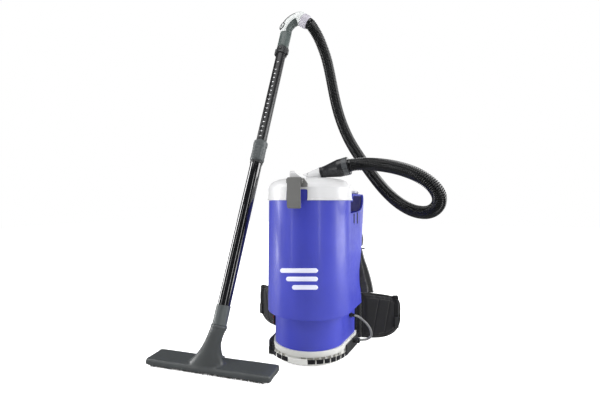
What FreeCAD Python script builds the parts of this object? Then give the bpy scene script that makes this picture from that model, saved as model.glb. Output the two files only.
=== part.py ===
import FreeCAD, Part
import math
import os

# Backpack vacuum cleaner: canister with lid and harness, suction hose, telescopic wand with a
# bent handle, and floor head. Millimetres. The canister stands on z = 0 with its axis on the
# z axis. The latch is at the front (-y), the harness at the back (+y), the cord on the right (+x).

os.makedirs("parts", exist_ok=True)
Vector = FreeCAD.Vector
ORIGIN = Vector(0, 0, 0)
X_AXIS = Vector(1, 0, 0)
Z_AXIS = Vector(0, 0, 1)
SIDES = (-1, 1)                  # left, right
parts = {}


# ---------------------------------------------------------------- helpers
# A line is (origin, unit direction); distances along it run from the origin.
# A frame is (origin, x direction, y direction, z direction).
def unit(vector):
    result = Vector(vector)
    result.normalize()
    return result


def square_to(vector, axis):
    """The unit vector nearest to vector that is square to axis."""
    return unit(vector - axis * vector.dot(axis))


def vertical(x, y):
    return Vector(x, y, 0), Z_AXIS


def crosswise(y, z):
    return Vector(0, y, z), X_AXIS


def along(line, distance):
    origin, direction = line
    return origin + direction * distance


def cylinder(line, start, end, radius):
    base = along(line, start)
    axis = along(line, end) - base
    return Part.makeCylinder(radius, axis.Length, base, axis)


def cone(line, start, end, start_r, end_r):
    base = along(line, start)
    axis = along(line, end) - base
    return Part.makeCone(start_r, end_r, axis.Length, base, axis)


def tube(line, start, end, outer_r, inner_r):
    bore = cylinder(line, start - 1, end + 1, inner_r)
    return cylinder(line, start, end, outer_r).cut(bore)


def box(x0, y0, z0, x1, y1, z1):
    """Box between two corners; the x values may come in either order."""
    x0, x1 = sorted((x0, x1))
    return Part.makeBox(x1 - x0, y1 - y0, z1 - z0, Vector(x0, y0, z0))


def place(shape, frame):
    """Move a shape drawn in its own axes into the frame."""
    origin, ex, ey, ez = frame
    matrix = FreeCAD.Matrix(ex.x, ey.x, ez.x, origin.x, ex.y, ey.y, ez.y, origin.y,
                            ex.z, ey.z, ez.z, origin.z, 0, 0, 0, 1)
    moved = shape.copy()
    moved.Placement = FreeCAD.Placement(matrix).multiply(moved.Placement)
    return moved


def framed_box(frame, *corners):
    return place(box(*corners), frame)


def closed_wire(points):
    points = [Vector(*p) for p in points]
    return Part.makePolygon(points + [points[0]])


def x_prism(x0, width, yz_points):
    face = Part.Face(closed_wire([(x0, y, z) for y, z in yz_points]))
    return face.extrude(Vector(width, 0, 0))


def y_prism(y0, depth, xz_points):
    face = Part.Face(closed_wire([(x, y0, z) for x, z in xz_points]))
    return face.extrude(Vector(0, depth, 0))


def revolved(rz_points):
    face = Part.Face(closed_wire([(r, 0, z) for r, z in rz_points]))
    return face.revolve(ORIGIN, Z_AXIS, 360)


def ruled_loft(wires):
    return Part.makeLoft(wires, True, True)


def fuse(first, *others):
    for other in others:
        first = first.fuse(other)
    return first.removeSplitter()


def largest(shape):
    return max(shape.Solids, key=lambda solid: solid.Volume)


def mirrored(shape):
    return shape.mirror(ORIGIN, X_AXIS)


def turned(shape, degrees):
    shape.rotate(ORIGIN, Z_AXIS, degrees)
    return shape


def select_edges(shape, test):
    """The edges whose first and last points pass the test."""
    return [e for e in shape.Edges if test(e.Vertexes[0].Point, e.Vertexes[-1].Point)]


def soft_fillet(shape, edges, radius):
    """Round the edges, at half the radius or not at all where the kernel fails."""
    for size in (radius, radius * 0.5):
        # guards against a fillet the kernel cannot build
        try:
            rounded = shape.makeFillet(size, edges)
            if rounded.isValid() and rounded.Volume > 0:
                return rounded
        except Exception:
            pass
    return shape


def spline_path(points):
    """A spline wire through the points, and its direction at the start."""
    curve = Part.BSplineCurve()
    curve.interpolate(Points=[Vector(*p) for p in points])
    return Part.Wire([curve.toShape()]), unit(curve.tangent(curve.FirstParameter)[0])


def sweep(points, radius):
    path, tangent = spline_path(points)
    profile = Part.Wire([Part.makeCircle(radius, Vector(*points[0]), tangent)])
    return path.makePipeShell([profile], True, False)


def band(points, width_hint, half_width, half_thick):
    """Flat band along a spline, its width turned towards width_hint."""
    path, tangent = spline_path(points)
    wide = square_to(width_hint, tangent)
    thick = tangent.cross(wide)
    start = Vector(*points[0])
    corners = [start + wide * (half_width * i) + thick * (half_thick * j)
               for i, j in ((1, 1), (-1, 1), (-1, -1), (1, -1))]
    return path.makePipeShell([closed_wire(corners)], True, True)


def d_wire(radius, corner_x, corner_y, back_y, z):
    """Plan outline: half circle in front, flared sides to the corners, then straight back."""
    front = Part.Arc(Vector(-radius, 0, z), Vector(0, -radius, z), Vector(radius, 0, z))
    points = [(radius, 0), (corner_x, corner_y), (corner_x, back_y),
              (-corner_x, back_y), (-corner_x, corner_y), (-radius, 0)]
    points = [Vector(x, y, z) for x, y in points]
    lines = [Part.makeLine(a, b) for a, b in zip(points, points[1:])]
    return Part.Wire([front.toShape()] + lines)


def d_prism(radius, corner_x, corner_y, back_y, z0, z1, top_radius=None):
    if top_radius is None:
        top_radius = radius
    return ruled_loft([d_wire(radius, corner_x, corner_y, back_y, z0),
                       d_wire(top_radius, corner_x, corner_y, back_y, z1)])


# ---------------------------------------------------------------- shared dimensions
CLEARANCE = 0.05                 # radial running clearance of every shaft in its bore
FACE_GAP = 0.4                   # between faces that move past each other
AXIS = vertical(0, 0)            # canister axis

# upper body
BODY_R_TOP, BODY_R_LOW = 123.0, 126.0    # front radius at the rim and at the lower edge
BODY_X, BODY_Y = 135.0, 95.0     # flared back corner
BODY_Z, RIM_Z = 134.0, 457.0     # lower edge, lid rim
HOUSING_Z = 476.0                # top of the rear housing
WALL = 3.0
COLLAR_R = 119.5                 # collar under the lid

# motor housing and base
MOTOR_R, MOTOR_X, MOTOR_Y = 103.5, 115.0, 92.0
MOTOR_Z = 43.0                   # lower edge of the motor housing
MOTOR_BACK = 108.0
BASE_FLARE = 11.0                # corner x of the base plan beyond its front radius

# lid
LID_R, SKIRT_Z, DOME_Z = 125.4, 494.0, 525.0
HINGE_Y, HINGE_Z, HINGE_R = 131.0, 482.0, 2.5
HINGE = crosswise(HINGE_Y, HINGE_Z)
LATCH_X = 3.0                    # the latch sits a little right of the centre line
LATCH_Y, LATCH_Z, LATCH_R = -137.0, 509.0, 2.5
LATCH = crosswise(LATCH_Y, LATCH_Z)

# inlet neck and hose cuff
NECK_TILT = math.radians(12.5)
NECK = (Vector(34.6, 0, 539.0), Vector(math.cos(NECK_TILT), 0, math.sin(NECK_TILT)))
SPIGOT_R = 13.0
CUFF_END = 88.0

# wand
WAND = (Vector(-172.75, -187.3, 215.12), unit(Vector(0.05625, 0.34517, 0.93685)))
WAND_BASE, WAND_DIR = WAND
LOWER_R, UPPER_R = 17.5, 16.0    # tube outside radii
WAND_FRONT = square_to(Vector(0.086, -0.9966, 0), WAND_DIR)    # the detent row faces this way
WAND_SIDE = WAND_DIR.cross(WAND_FRONT)

# hose swivel at the end of the handle
SWIVEL_START = Vector(-70.5, 122.9, 1072.2)
SWIVEL_L = (Vector(-47.5, 126.5, 1056.8) - SWIVEL_START).Length
SWIVEL_DIR = unit(Vector(-47.5, 126.5, 1056.8) - SWIVEL_START)
SWIVEL = (SWIVEL_START, SWIVEL_DIR)
SWIVEL_R = 17.0

# power cord entry, square to the flared right side of the motor housing
CORD_TURN = math.atan2(MOTOR_X - MOTOR_R, MOTOR_Y)
CORD = (Vector(112.8, 52.0, 108.0), Vector(math.cos(CORD_TURN), -math.sin(CORD_TURN), 0))

# lumbar curve of the back face, (z, y)
BACK = [
    (20, 112), (133, 112), (150, 109), (170, 100), (192, 89), (215, 83), (240, 83),
    (262, 90), (290, 104), (322, 118), (350, 125), (380, 131), (420, 141), (450, 149),
    (461, 149.5), (469, 146.5), (474, 141), (476.6, 133), (500, 90),
]


# ---------------------------------------------------------------- canister shell
# profile of the side pockets, (y, z)
POCKET = [(3, 419), (60, 421), (92, 425), (116, 433), (134, 445), (142, 460), (140, 470),
          (132, 473), (3, 473)]
POCKET_DEPTH, INSERT_DEPTH = 5, 8


def body_prism(inset, z0=BODY_Z, z1=HOUSING_Z):
    return d_prism(BODY_R_LOW - inset, BODY_X - inset, BODY_Y, 200, z0, z1, BODY_R_TOP - inset)


def behind_back(shift):
    """Everything behind the lumbar curve moved by shift in y."""
    curve = [(y + shift, z) for z, y in BACK]
    return x_prism(-300, 600, curve + [(400, 500), (400, 20)])


def hinge_knuckle(start, end):
    barrel = cylinder(HINGE, start, end, 5.0)
    foot = box(start, HINGE_Y - 5, HOUSING_Z - 6, end, HINGE_Y + 5, HINGE_Z)
    return fuse(barrel, foot).cut(cylinder(HINGE, start - 1, end + 1, HINGE_R))


def side_grips(pocket_block):
    """Inserts lining the side pockets."""
    grips = pocket_block.common(body_prism(POCKET_DEPTH)).cut(body_prism(INSERT_DEPTH))
    grips = grips.cut(cylinder(AXIS, RIM_Z - 6, 520, LID_R + 4.0))
    return grips.common(fuse(*[box(side * 100, 6, 424, side * 200, 139, 470) for side in SIDES]))


def canister_shell(pocket_block, grips):
    outer = body_prism(0).cut(behind_back(0))
    rear_corners = select_edges(outer, lambda a, b: (
        abs(a.z - b.z) > 5 and min(a.y, b.y) > BODY_Y - 30 and abs(a.x) > 130))
    outer = soft_fillet(outer, rear_corners, 6.0)
    inner = body_prism(WALL, BODY_Z + 6, HOUSING_Z - WALL).cut(behind_back(-WALL))
    # above the rim only the rear housing stays, clear of the lid
    rear_housing = box(-200, 0, RIM_Z, 200, 300, 500)
    rear_housing = rear_housing.cut(cylinder(AXIS, RIM_Z - 1, 501, LID_R + 3.6))
    shell = outer.cut(box(-200, -200, RIM_Z, 200, 300, 520).cut(rear_housing))
    shell = shell.cut(inner.common(box(-200, -200, 0, 200, 300, RIM_Z - WALL)))
    shell = shell.cut(cylinder(AXIS, RIM_Z - 10, RIM_Z + 5, COLLAR_R - 3))
    # collar, open at the back for the lid's swing
    collar = tube(AXIS, RIM_Z - 4, SKIRT_Z - 5, COLLAR_R, COLLAR_R - 3)
    shell = fuse(shell, collar.cut(box(-200, 58, RIM_Z - 0.2, 200, 200, 500)))
    # air passage to the motor
    shell = shell.cut(cylinder(AXIS, BODY_Z - 1, BODY_Z + 7, 76))
    shell = shell.cut(pocket_block.cut(body_prism(POCKET_DEPTH)))
    shell = shell.cut(grips)
    # drain slots under each pocket
    for side in SIDES:
        for y in (35.0, 62.0):
            x = side * (BODY_R_TOP + (BODY_X - BODY_R_TOP) * y / BODY_Y)
            shell = shell.cut(box(x - 2.5, y - 1.3, 384, x + 2.5, y + 1.3, 416))
    shell = fuse(shell, hinge_knuckle(-99.6, -86), hinge_knuckle(86, 99.6))
    # keeper boss and keeper under the latch
    front_y = -BODY_R_TOP
    boss = box(LATCH_X - 14, front_y - 4, 437, LATCH_X + 14, front_y + 3, 449)
    shell = fuse(shell, boss)
    left, right = LATCH_X - 13.5, LATCH_X + 13.5
    keeper = fuse(box(left, front_y - 8, 438, right, front_y - 4, 448),
                  box(left, front_y - 12, 438, right, front_y - 8, 441.5))
    return fuse(shell, keeper)


# finger pockets under the top of the rear housing
pocket_block = x_prism(-300, 600, POCKET)
parts["side_grip_inserts"] = side_grips(pocket_block)
parts["canister_shell"] = canister_shell(pocket_block, parts["side_grip_inserts"])

# ---------------------------------------------------------------- motor housing and switch
SWITCH_ANGLE = math.radians(198.0)       # on the left side
SWITCH_OUT = Vector(math.cos(SWITCH_ANGLE), math.sin(SWITCH_ANGLE), 0)
SWITCH_ACROSS = Vector(-SWITCH_OUT.y, SWITCH_OUT.x, 0)
SWITCH_C = SWITCH_OUT * (MOTOR_R - 0.6) + Vector(0, 0, 97)
BEZEL_C = SWITCH_C + SWITCH_OUT * 1.2
ROCKER_C = BEZEL_C + SWITCH_OUT * 0.5
ROCKER_PIN = (ROCKER_C, SWITCH_ACROSS)
ROCKER_PIN_R = 1.0
# rocker section, (outward, z)
ROCKER = [(-2.5, -9.0), (2.5, -10.0), (6.0, -10.2), (4.2, 0), (6.6, 10.2), (2.5, 10.0),
          (-2.5, 9.0)]


def switch_frame(centre):
    return centre, SWITCH_OUT, SWITCH_ACROSS, Z_AXIS


def motor_prism(inset, back_y, z0, z1):
    return d_prism(MOTOR_R - inset, MOTOR_X - inset, MOTOR_Y, back_y, z0, z1)


def motor_housing():
    housing = motor_prism(0, MOTOR_BACK, MOTOR_Z, BODY_Z - 0.2)
    corners = select_edges(housing, lambda a, b: abs(a.z - b.z) > 5 and a.y > 80)
    housing = soft_fillet(housing, corners, 8)
    housing = housing.cut(motor_prism(WALL, MOTOR_BACK - WALL, MOTOR_Z - 1, BODY_Z - 4))
    housing = housing.cut(cylinder(AXIS, BODY_Z - 6, BODY_Z + 1, 76))
    switch_hole = framed_box(switch_frame(SWITCH_C), -6, -8, -14, 6, 8, 14)
    housing = housing.cut(switch_hole)
    housing = housing.cut(cylinder(CORD, -12, 12, 5.5))
    # shelf around the motor, with two notches in front
    shelf = motor_prism(1, 106.5, 76, 80).cut(cylinder(AXIS, 70, 90, 62.0))
    for side in SIDES:
        shelf = shelf.cut(box(side * 50, -100, 70, side * 70, -70, 90))
    return fuse(housing, shelf.cut(switch_hole))


def switch_bezel():
    """Bezel with the rocker's pin."""
    frame = switch_frame(BEZEL_C)
    sleeve = box(-3, -7.8, -13.8, 3, 7.8, 13.8).cut(box(-7, -5.6, -11, 7, 5.6, 11))
    flange = box(3, -9.5, -15.5, 4.5, 9.5, 15.5).cut(box(2, -5.6, -11, 6, 5.6, 11))
    pin = cylinder(ROCKER_PIN, -7, 7, ROCKER_PIN_R)
    pin = pin.common(framed_box(frame, -7, -7.5, -11, 7, 7.5, 11))
    return fuse(place(fuse(sleeve, flange), frame), pin)


def switch_rocker():
    rocker = place(y_prism(-5.2, 10.4, ROCKER), switch_frame(ROCKER_C))
    return rocker.cut(cylinder(ROCKER_PIN, -9, 9, ROCKER_PIN_R + CLEARANCE))


parts["motor_housing"] = motor_housing()
parts["switch_bezel"] = switch_bezel()
parts["switch_rocker"] = switch_rocker()

# ---------------------------------------------------------------- power pigtail
CORD_R = 3.4
CORD_PATH = [
    along(CORD, 12), (136.0, 63.0, 101.0), (150.0, 70.9, 88.0), (163.0, 79.0, 71.0),
    (170.0, 85.0, 52.0), (169.0, 87.0, 37.5), (160.0, 84.0, 30.0), (145.0, 74.0, 28.3),
    (131.5, 66.0, 29.0),
]
pigtail = sweep(CORD_PATH, CORD_R)
parts["power_pigtail"] = pigtail
relief = fuse(cylinder(CORD, -3, 2.5, 5.4), cylinder(CORD, 1.5, 3.5, 7.5),
              cone(CORD, 3.4, 12.5, 6.0, 4.4))
parts["strain_relief"] = largest(relief.cut(pigtail).cut(parts["motor_housing"]))

# ---------------------------------------------------------------- base
SCREW_PLACES = [(x, y) for y in (-55, 55) for x in (-70, 70)]
# turns of the curved wall's slots: left group, blank panel, right group
SLOT_ANGLES = [-150, -139, -128, -117, -82, -71.5, -61, -50.5, -40, -29.5, -19]
SLOT_Z0, SLOT_Z1 = 16.0, 27.0


def base_prism(radius, corner_y, back_y, z0, z1):
    return d_prism(radius, radius + BASE_FLARE, corner_y, back_y, z0, z1)


def base_ring():
    rim = base_prism(108.0, MOTOR_Y, 109.5, 28.0, MOTOR_Z - 0.1)
    rim_inside = base_prism(99.0, MOTOR_Y - 2, 101, 27.0, MOTOR_Z + 1)
    wall = base_prism(104.5, MOTOR_Y, 107, 4.0, 28.5)
    wall_inside = base_prism(99.0, MOTOR_Y - 2, 101, 3.0, 29.5)
    lip = d_prism(101.0, 117.5, MOTOR_Y, 108, 3.2, 15.0, top_radius=107.0)
    ring = fuse(rim, wall, lip).cut(fuse(rim_inside, wall_inside))
    for angle in SLOT_ANGLES:
        ring = ring.cut(turned(box(92, -7.25, SLOT_Z0, 116, 7.25, SLOT_Z1), angle))
    for side in SIDES:
        for y in (8, 28, 48, 68):
            ring = ring.cut(box(side * 98, y, SLOT_Z0, side * 128, y + 14, SLOT_Z1))
    return ring


def with_screw_holes(plate, z0, z1, radius):
    for x, y in SCREW_PLACES:
        plate = plate.cut(cylinder(vertical(x, y), z0, z1, radius))
    return plate


def base_screw(x, y):
    line = vertical(x, y)
    return fuse(cylinder(line, 0.8, 3.2, 4.4), cylinder(line, 3.2, 8.6, 2.2))


def base_tray(cord):
    """Tray round the left, back and part of the right side, with a cord hook on the right."""
    tray = base_prism(112.5, MOTOR_Y, 118, 4.0, 33.0)
    lobe = d_prism(124.0, 128.0, MOTOR_Y, 118, 4.0, 33.0)
    lobe = lobe.common(box(-200, -64, 0, -60, 300, 60)).cut(box(-200, -80, 17, 0, -40, 60))
    opening = base_prism(108.6, MOTOR_Y, 110.2, 3.0, 40.0)
    extent = fuse(box(-200, -64, 0, 0, 300, 60), box(-10, 4, 0, 200, 300, 60))
    tray = largest(fuse(tray, lobe).cut(opening).common(extent))
    hook = fuse(box(117.5, 58, 22, 138, 74, 25.2), box(136.4, 60, 22, 138, 72, 33.0),
                box(117.5, 60, 31.4, 138, 72, 34.4))
    return largest(fuse(tray, hook.cut(cord).cut(opening)))


parts["base_ring"] = base_ring()
floor_plate = base_prism(98.6, MOTOR_Y - 2, 100.6, 3.2, 8.0)
parts["base_plate"] = with_screw_holes(floor_plate, 2, 9, 2.3)
foot_pad = base_prism(92, MOTOR_Y - 2, 96, 0.0, 3.0)
parts["rubber_foot_pad"] = with_screw_holes(foot_pad, -1, 4, 5.0)
parts["base_tray"] = base_tray(pigtail)
parts["exhaust_filter"] = base_prism(97.5, MOTOR_Y - 2, 99.0, 9.0, 27.0).cut(
    d_prism(78, 86, MOTOR_Y - 24, 80, 8.0, 28.0))
parts["base_screws"] = Part.makeCompound([base_screw(x, y) for x, y in SCREW_PLACES])

# ---------------------------------------------------------------- motor, fan, filters
SHAFT_R = 4.0
CAN_R = 62                       # motor can
BAG = vertical(0, -20)
# filter bag stations, (z, radius)
BAG_STATIONS = [(172, 74), (190, 90), (300, 94), (420, 94), (440, 84)]


def impeller():
    wheel = fuse(cylinder(AXIS, 96, 98.5, 54), cylinder(AXIS, 96, 118, 9))
    for i in range(8):
        wheel = wheel.fuse(turned(box(8, -1, 98, 50, 1, 114), i * 45))
    return wheel.removeSplitter().cut(cylinder(AXIS, 90, 130, SHAFT_R))


def filter_bag():
    bag = ruled_loft([Part.Wire([Part.makeCircle(radius, along(BAG, z), Z_AXIS)])
                      for z, radius in BAG_STATIONS])
    return fuse(bag, cylinder(BAG, 440, 444, 92)).cut(cylinder(BAG, 400, 460, 26))


can = fuse(tube(AXIS, 34, 92, CAN_R, CAN_R - 4), cylinder(AXIS, 34, 38, CAN_R),
           cylinder(AXIS, 88, 92, CAN_R))
parts["motor_body"] = can.cut(cylinder(AXIS, 30, 96, SHAFT_R + CLEARANCE))
parts["motor_shaft"] = fuse(cylinder(AXIS, 33, 120, SHAFT_R), cylinder(AXIS, 44, 80, 26))
parts["impeller"] = impeller()
parts["fan_housing"] = fuse(tube(AXIS, 92.2, 128, 60, 57), tube(AXIS, 125, 128, 60, 20))
parts["motor_gasket"] = tube(AXIS, 128.2, 140.0, 66, 46)
parts["pre_motor_filter"] = tube(AXIS, 141, 165, 90, 30)
parts["filter_bag"] = filter_bag()

# ---------------------------------------------------------------- lid
# outer and inner outlines, (radius, z)
LID_OUTSIDE = [
    (0, DOME_Z), (40, DOME_Z - 1.0), (75, DOME_Z - 3.6), (95, DOME_Z - 7.0),
    (106, DOME_Z - 11.0), (115, DOME_Z - 17), (121, DOME_Z - 24), (LID_R - 1.0, SKIRT_Z),
    (LID_R, RIM_Z + 5), (LID_R + 1.6, RIM_Z + 4), (LID_R + 1.6, RIM_Z + 0.4),
]
LID_INSIDE = [
    (0, DOME_Z - 3.2), (40, DOME_Z - 4.2), (75, DOME_Z - 6.8), (93, DOME_Z - 10.2),
    (104, DOME_Z - 14.0), (112, DOME_Z - 19.5), (118, DOME_Z - 26),
    (LID_R - 4.4, SKIRT_Z - 2), (LID_R - 3.4, RIM_Z + 0.4),
]
# raised wedge behind the latch, (y, z), and the cut that slopes its top, (x, z)
WEDGE = [(-126.5, 500), (-128.5, 530), (-126, 536), (-118, 537.5), (-88, 528),
         (-52, DOME_Z - 2.5), (-80, 517)]
WEDGE_TOP_CUT = [(-6, 538.5), (30, 538.5), (30, 516), (16, 519)]
HORN_START = Vector(-44, 0, 521.0)


def latch_notch():
    notch = box(-27, -140, RIM_Z - 5, 33, -95, 487)
    top_edges = select_edges(notch, lambda a, b: abs(a.y - b.y) > 10 and a.z > 480)
    return soft_fillet(notch, top_edges, 5)


def hinge_flange():
    flange = box(-119, 84, 479.6, 119, HINGE_Y - 2, 486.8)
    flange = flange.cut(cylinder(AXIS, 470, 520, LID_R - 2))
    flange = flange.common(d_prism(BODY_R_TOP - 2, BODY_X - 14, BODY_Y, 200, 470, 500))
    for side in SIDES:
        # room for the housing's knuckle, then the lid's knuckle outside it
        flange = flange.cut(box(side * 85.6, HINGE_Y - 5.8, 470, side * 100, HINGE_Y + 8, 500))
        flange = flange.fuse(fuse(
            cylinder(HINGE, side * 100, side * 119, 4.9),
            box(side * 100, HINGE_Y - 6, HINGE_Z - 2, side * 119, HINGE_Y, 486.8)))
    return flange


def lid_shell():
    lid = revolved(LID_OUTSIDE + LID_INSIDE[::-1]).cut(latch_notch())
    wedge = x_prism(-15.5, 37, WEDGE).cut(y_prism(-200, 200, WEDGE_TOP_CUT))
    wedge = wedge.cut(revolved([(0, 480)] + LID_INSIDE[:-1] + [(LID_R - 4.4, 480)]))
    lid = fuse(lid, wedge)
    # inlet horn, neck and spigot
    horn_axis = along(NECK, -2) - HORN_START
    horn = Part.makeCone(5.0, 16.6, horn_axis.Length, HORN_START, horn_axis)
    lid = fuse(lid, horn, cylinder(NECK, -6, 0, 17.2), cylinder(NECK, -4, 22, SPIGOT_R))
    # room for the turning cuff, then the air passage
    lid = lid.cut(tube(NECK, 0.1, 22, 17.7, 13.4))
    lid = lid.cut(cylinder(NECK, -40, 23, 11.0))
    lid = lid.cut(cylinder(AXIS, 500, 529, 9.0))
    lid = fuse(lid, hinge_flange())
    return lid.cut(cylinder(HINGE, -125, 125, HINGE_R + CLEARANCE))


def hinge_pin(side):
    return fuse(cylinder(HINGE, side * 84, side * 121, HINGE_R),
                cylinder(HINGE, side * 119.4, side * 121.4, 4.2))


parts["lid_shell"] = lid_shell()
parts["lid_hinge_pins"] = Part.makeCompound([hinge_pin(side) for side in SIDES])
parts["lid_gasket"] = tube(AXIS, SKIRT_Z - 4.6, SKIRT_Z - 2.2, COLLAR_R - 0.2, COLLAR_R - 5)

# ---------------------------------------------------------------- latch
# lever section, (y, z)
LEVER = [
    (-140.5, 519), (-145.2, 516), (-146.2, 490), (-147.5, 455), (-146.5, 439),
    (-143.5, 435.5), (-139.5, 437), (-140.4, 455), (-141.8, 490), (-141.2, 503),
    (-138, 503.2), (-133.2, 506), (-132.2, 510), (-134.5, 514.2), (-137.5, 515.2),
]
LEVER_HALF = 19.1


def latch_bracket(lid):
    bracket = fuse(box(-22.5, -133.5, 493, 33, -127.0, 516),
                   *[box(side * 19.4, LATCH_Y - 6, LATCH_Z - 6,
                         side * 22.5, -127.0, LATCH_Z + 6) for side in SIDES])
    bracket = bracket.cut(y_prism(-140, 20, [(22.6, 516.1), (33.1, 516.1), (33.1, 502)]))
    bracket = fuse(bracket, box(-20, -127.2, 495, 20, -119.5, 515))
    bracket = bracket.cut(cylinder(LATCH, -30, 30, LATCH_R))
    bracket.translate(Vector(LATCH_X, 0, 0))
    bracket = largest(bracket.cut(lid))
    # room behind the lever barrel
    return largest(bracket.cut(cylinder(LATCH, LATCH_X - 19.5, LATCH_X + 19.5, 10.9)))


def latch_lever():
    lever = x_prism(-LEVER_HALF, 2 * LEVER_HALF, LEVER)
    lower_corners = select_edges(lever, lambda a, b: (
        abs(a.y - b.y) < 5 and abs(a.x - b.x) < 0.1 and a.z < 440))
    lever = soft_fillet(lever, lower_corners, 2.5)
    hook = fuse(box(-12, -141.2, 443.2, 12, -136.2, 446), box(-12, -137.6, 442.2, 12, -135.8, 446))
    lever = fuse(lever, hook).cut(cylinder(LATCH, -30, 30, LATCH_R + CLEARANCE))
    lever.translate(Vector(LATCH_X, 0, 0))
    return lever


parts["latch_bracket"] = latch_bracket(parts["lid_shell"])
parts["latch_pin"] = cylinder(LATCH, LATCH_X - 23.4, LATCH_X + 23.4, LATCH_R)
parts["latch_lever"] = latch_lever()


# ---------------------------------------------------------------- hose cuff and clamp
CUFF_R = 26.0
CLAMP_SEAT_R = 24.6


def hose_cuff():
    cuff = fuse(cylinder(NECK, FACE_GAP, 5, 16.8), cylinder(NECK, 5, 8.5, 14.8),
                cylinder(NECK, 8.5, 13, 17.2), cone(NECK, 13, 56, 17.2, CUFF_R),
                cylinder(NECK, 56, CUFF_END, CUFF_R))
    cuff = cuff.cut(cylinder(NECK, 0, 24, SPIGOT_R + CLEARANCE))
    cuff = cuff.cut(cylinder(NECK, 23, CUFF_END + 1, 12.0))
    cuff = cuff.cut(cylinder(NECK, 60, CUFF_END + 1, 19.2))
    return cuff.cut(tube(NECK, 71, 85, 30, CLAMP_SEAT_R))


def hose_clamp(cuff):
    """Band with a block on its front side."""
    front = Vector(0, -1, 0)
    frame = (along(NECK, 78), NECK[1], front.cross(NECK[1]), front)
    clamp = fuse(tube(NECK, 71.2, 84.8, 26.6, CLAMP_SEAT_R),
                 framed_box(frame, -7.5, -7, 25.7, 7.5, 7, 30.7))
    return clamp.cut(cylinder(NECK, 69, 87, CLAMP_SEAT_R)).cut(cuff)


parts["hose_cuff"] = hose_cuff()
parts["hose_clamp"] = hose_clamp(parts["hose_cuff"])

# ---------------------------------------------------------------- hose
# centreline from the cuff to the handle, (x, y, z)
HOSE_PATH = [
    (141.0, 0.6, 561.2), (161.5, 2.5, 561.5), (187.0, -4.2, 559.4), (214.1, -12.5, 555.5),
    (240.1, -22.1, 550.0), (264.4, -31.4, 543.0), (288.3, -40.8, 534.1), (310.5, -48.7, 523.6),
    (333.4, -51.0, 509.0), (353.4, -47.9, 489.5), (362.9, -39.2, 471.9), (365.0, -28.8, 459.0),
    (362.8, -14.7, 446.1), (353.7, 2.2, 433.5), (340.1, 20.6, 425.2), (323.4, 41.2, 422.4),
    (301.2, 65.0, 424.9), (280.8, 84.2, 432.1), (254.0, 109.5, 446.4), (226.5, 135.7, 467.2),
    (198.3, 155.3, 494.2), (161.3, 176.9, 538.1), (105.8, 202.5, 614.2), (73.5, 209.9, 667.4),
    (48.2, 211.3, 725.4), (30.7, 209.2, 782.6), (19.1, 205.0, 839.1), (10.4, 196.5, 893.9),
    (1.1, 184.6, 947.0), (-7.9, 172.8, 979.4), (-21.0, 152.0, 1018.8), (-33.1, 139.1, 1040.1),
]
HOSE_R, HOSE_BORE_R = 18.6, 15.8


def suction_hose():
    """Plain tube, its ends just clear of the cuff and the handle swivel."""
    path = [along(NECK, CUFF_END + FACE_GAP), along(NECK, CUFF_END + 7)] + HOSE_PATH
    path += [along(SWIVEL, SWIVEL_L + 9), along(SWIVEL, SWIVEL_L + FACE_GAP)]
    solid_hose = sweep(path, HOSE_R)
    hose = solid_hose.cut(sweep(path, HOSE_BORE_R))
    # guards against a failed bore, leaving the hose solid
    if not hose.isValid() or len(hose.Solids) != 1:
        return solid_hose
    return hose


parts["suction_hose"] = suction_hose()

# ---------------------------------------------------------------- wand
DETENT_START, DETENT_PITCH = 463.5, 16.3
WAND_FRAME = (WAND_BASE, WAND_FRONT, WAND_SIDE, WAND_DIR)


def telescopic_collar():
    lower_bore = LOWER_R + CLEARANCE
    collar = fuse(tube(WAND, 387, 426, 21.0, lower_bore),
                  cone(WAND, 382, 387, 19.6, 21.0).cut(cylinder(WAND, 381, 388, lower_bore)))
    collar = fuse(collar, tube(WAND, 425.5, 443, 21.0, LOWER_R + 1.3),
                  cone(WAND, 443, 450, 21.0, 18.4).cut(cylinder(WAND, 442, 451, UPPER_R + 0.4)))
    return fuse(collar, tube(WAND, 375.5, 382.5, 18.8, lower_bore))


def upper_tube():
    def wall_cut(distance, half_width, half_length):
        frame = (along(WAND, distance), WAND_FRONT, WAND_SIDE, WAND_DIR)
        return framed_box(frame, UPPER_R - 5, -half_width, -half_length,
                          UPPER_R + 3, half_width, half_length)

    upper = tube(WAND, 300, 800, UPPER_R, UPPER_R - 1.6)
    for i in range(-3, 16):
        upper = upper.cut(wall_cut(DETENT_START + DETENT_PITCH * i, 3.5, 2.1))
    # one larger hole near the top
    return upper.cut(wall_cut(739, 4.0, 3.0))


def tube_lock_clip():
    """Clip between the upper tube and the handle, with a lug on each side."""
    frame = (WAND_BASE, WAND_SIDE, WAND_FRONT * -1, WAND_DIR)
    clip = fuse(tube(WAND, 777, 801, 19.2, UPPER_R),
                framed_box(frame, 16.5, -5, 780, 22.5, 5, 800),
                framed_box(frame, -22.5, -5, 776, -16.5, 5, 798))
    clip = clip.cut(cylinder(WAND, 770, 812, UPPER_R))
    return clip.cut(framed_box(WAND_FRAME, 15.0, -4.6, 785.9, 27.0, 4.6, 798.1))


parts["lower_tube"] = tube(WAND, -72, 434, LOWER_R, UPPER_R + CLEARANCE).cut(
    tube(WAND, -27.4, -25.4, LOWER_R + 2, LOWER_R - 0.45))
parts["tube_guide_bush"] = tube(WAND, 434.2, 440, LOWER_R + 1.22, UPPER_R + CLEARANCE)
parts["telescopic_collar"] = telescopic_collar()
parts["upper_tube"] = upper_tube()
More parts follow.
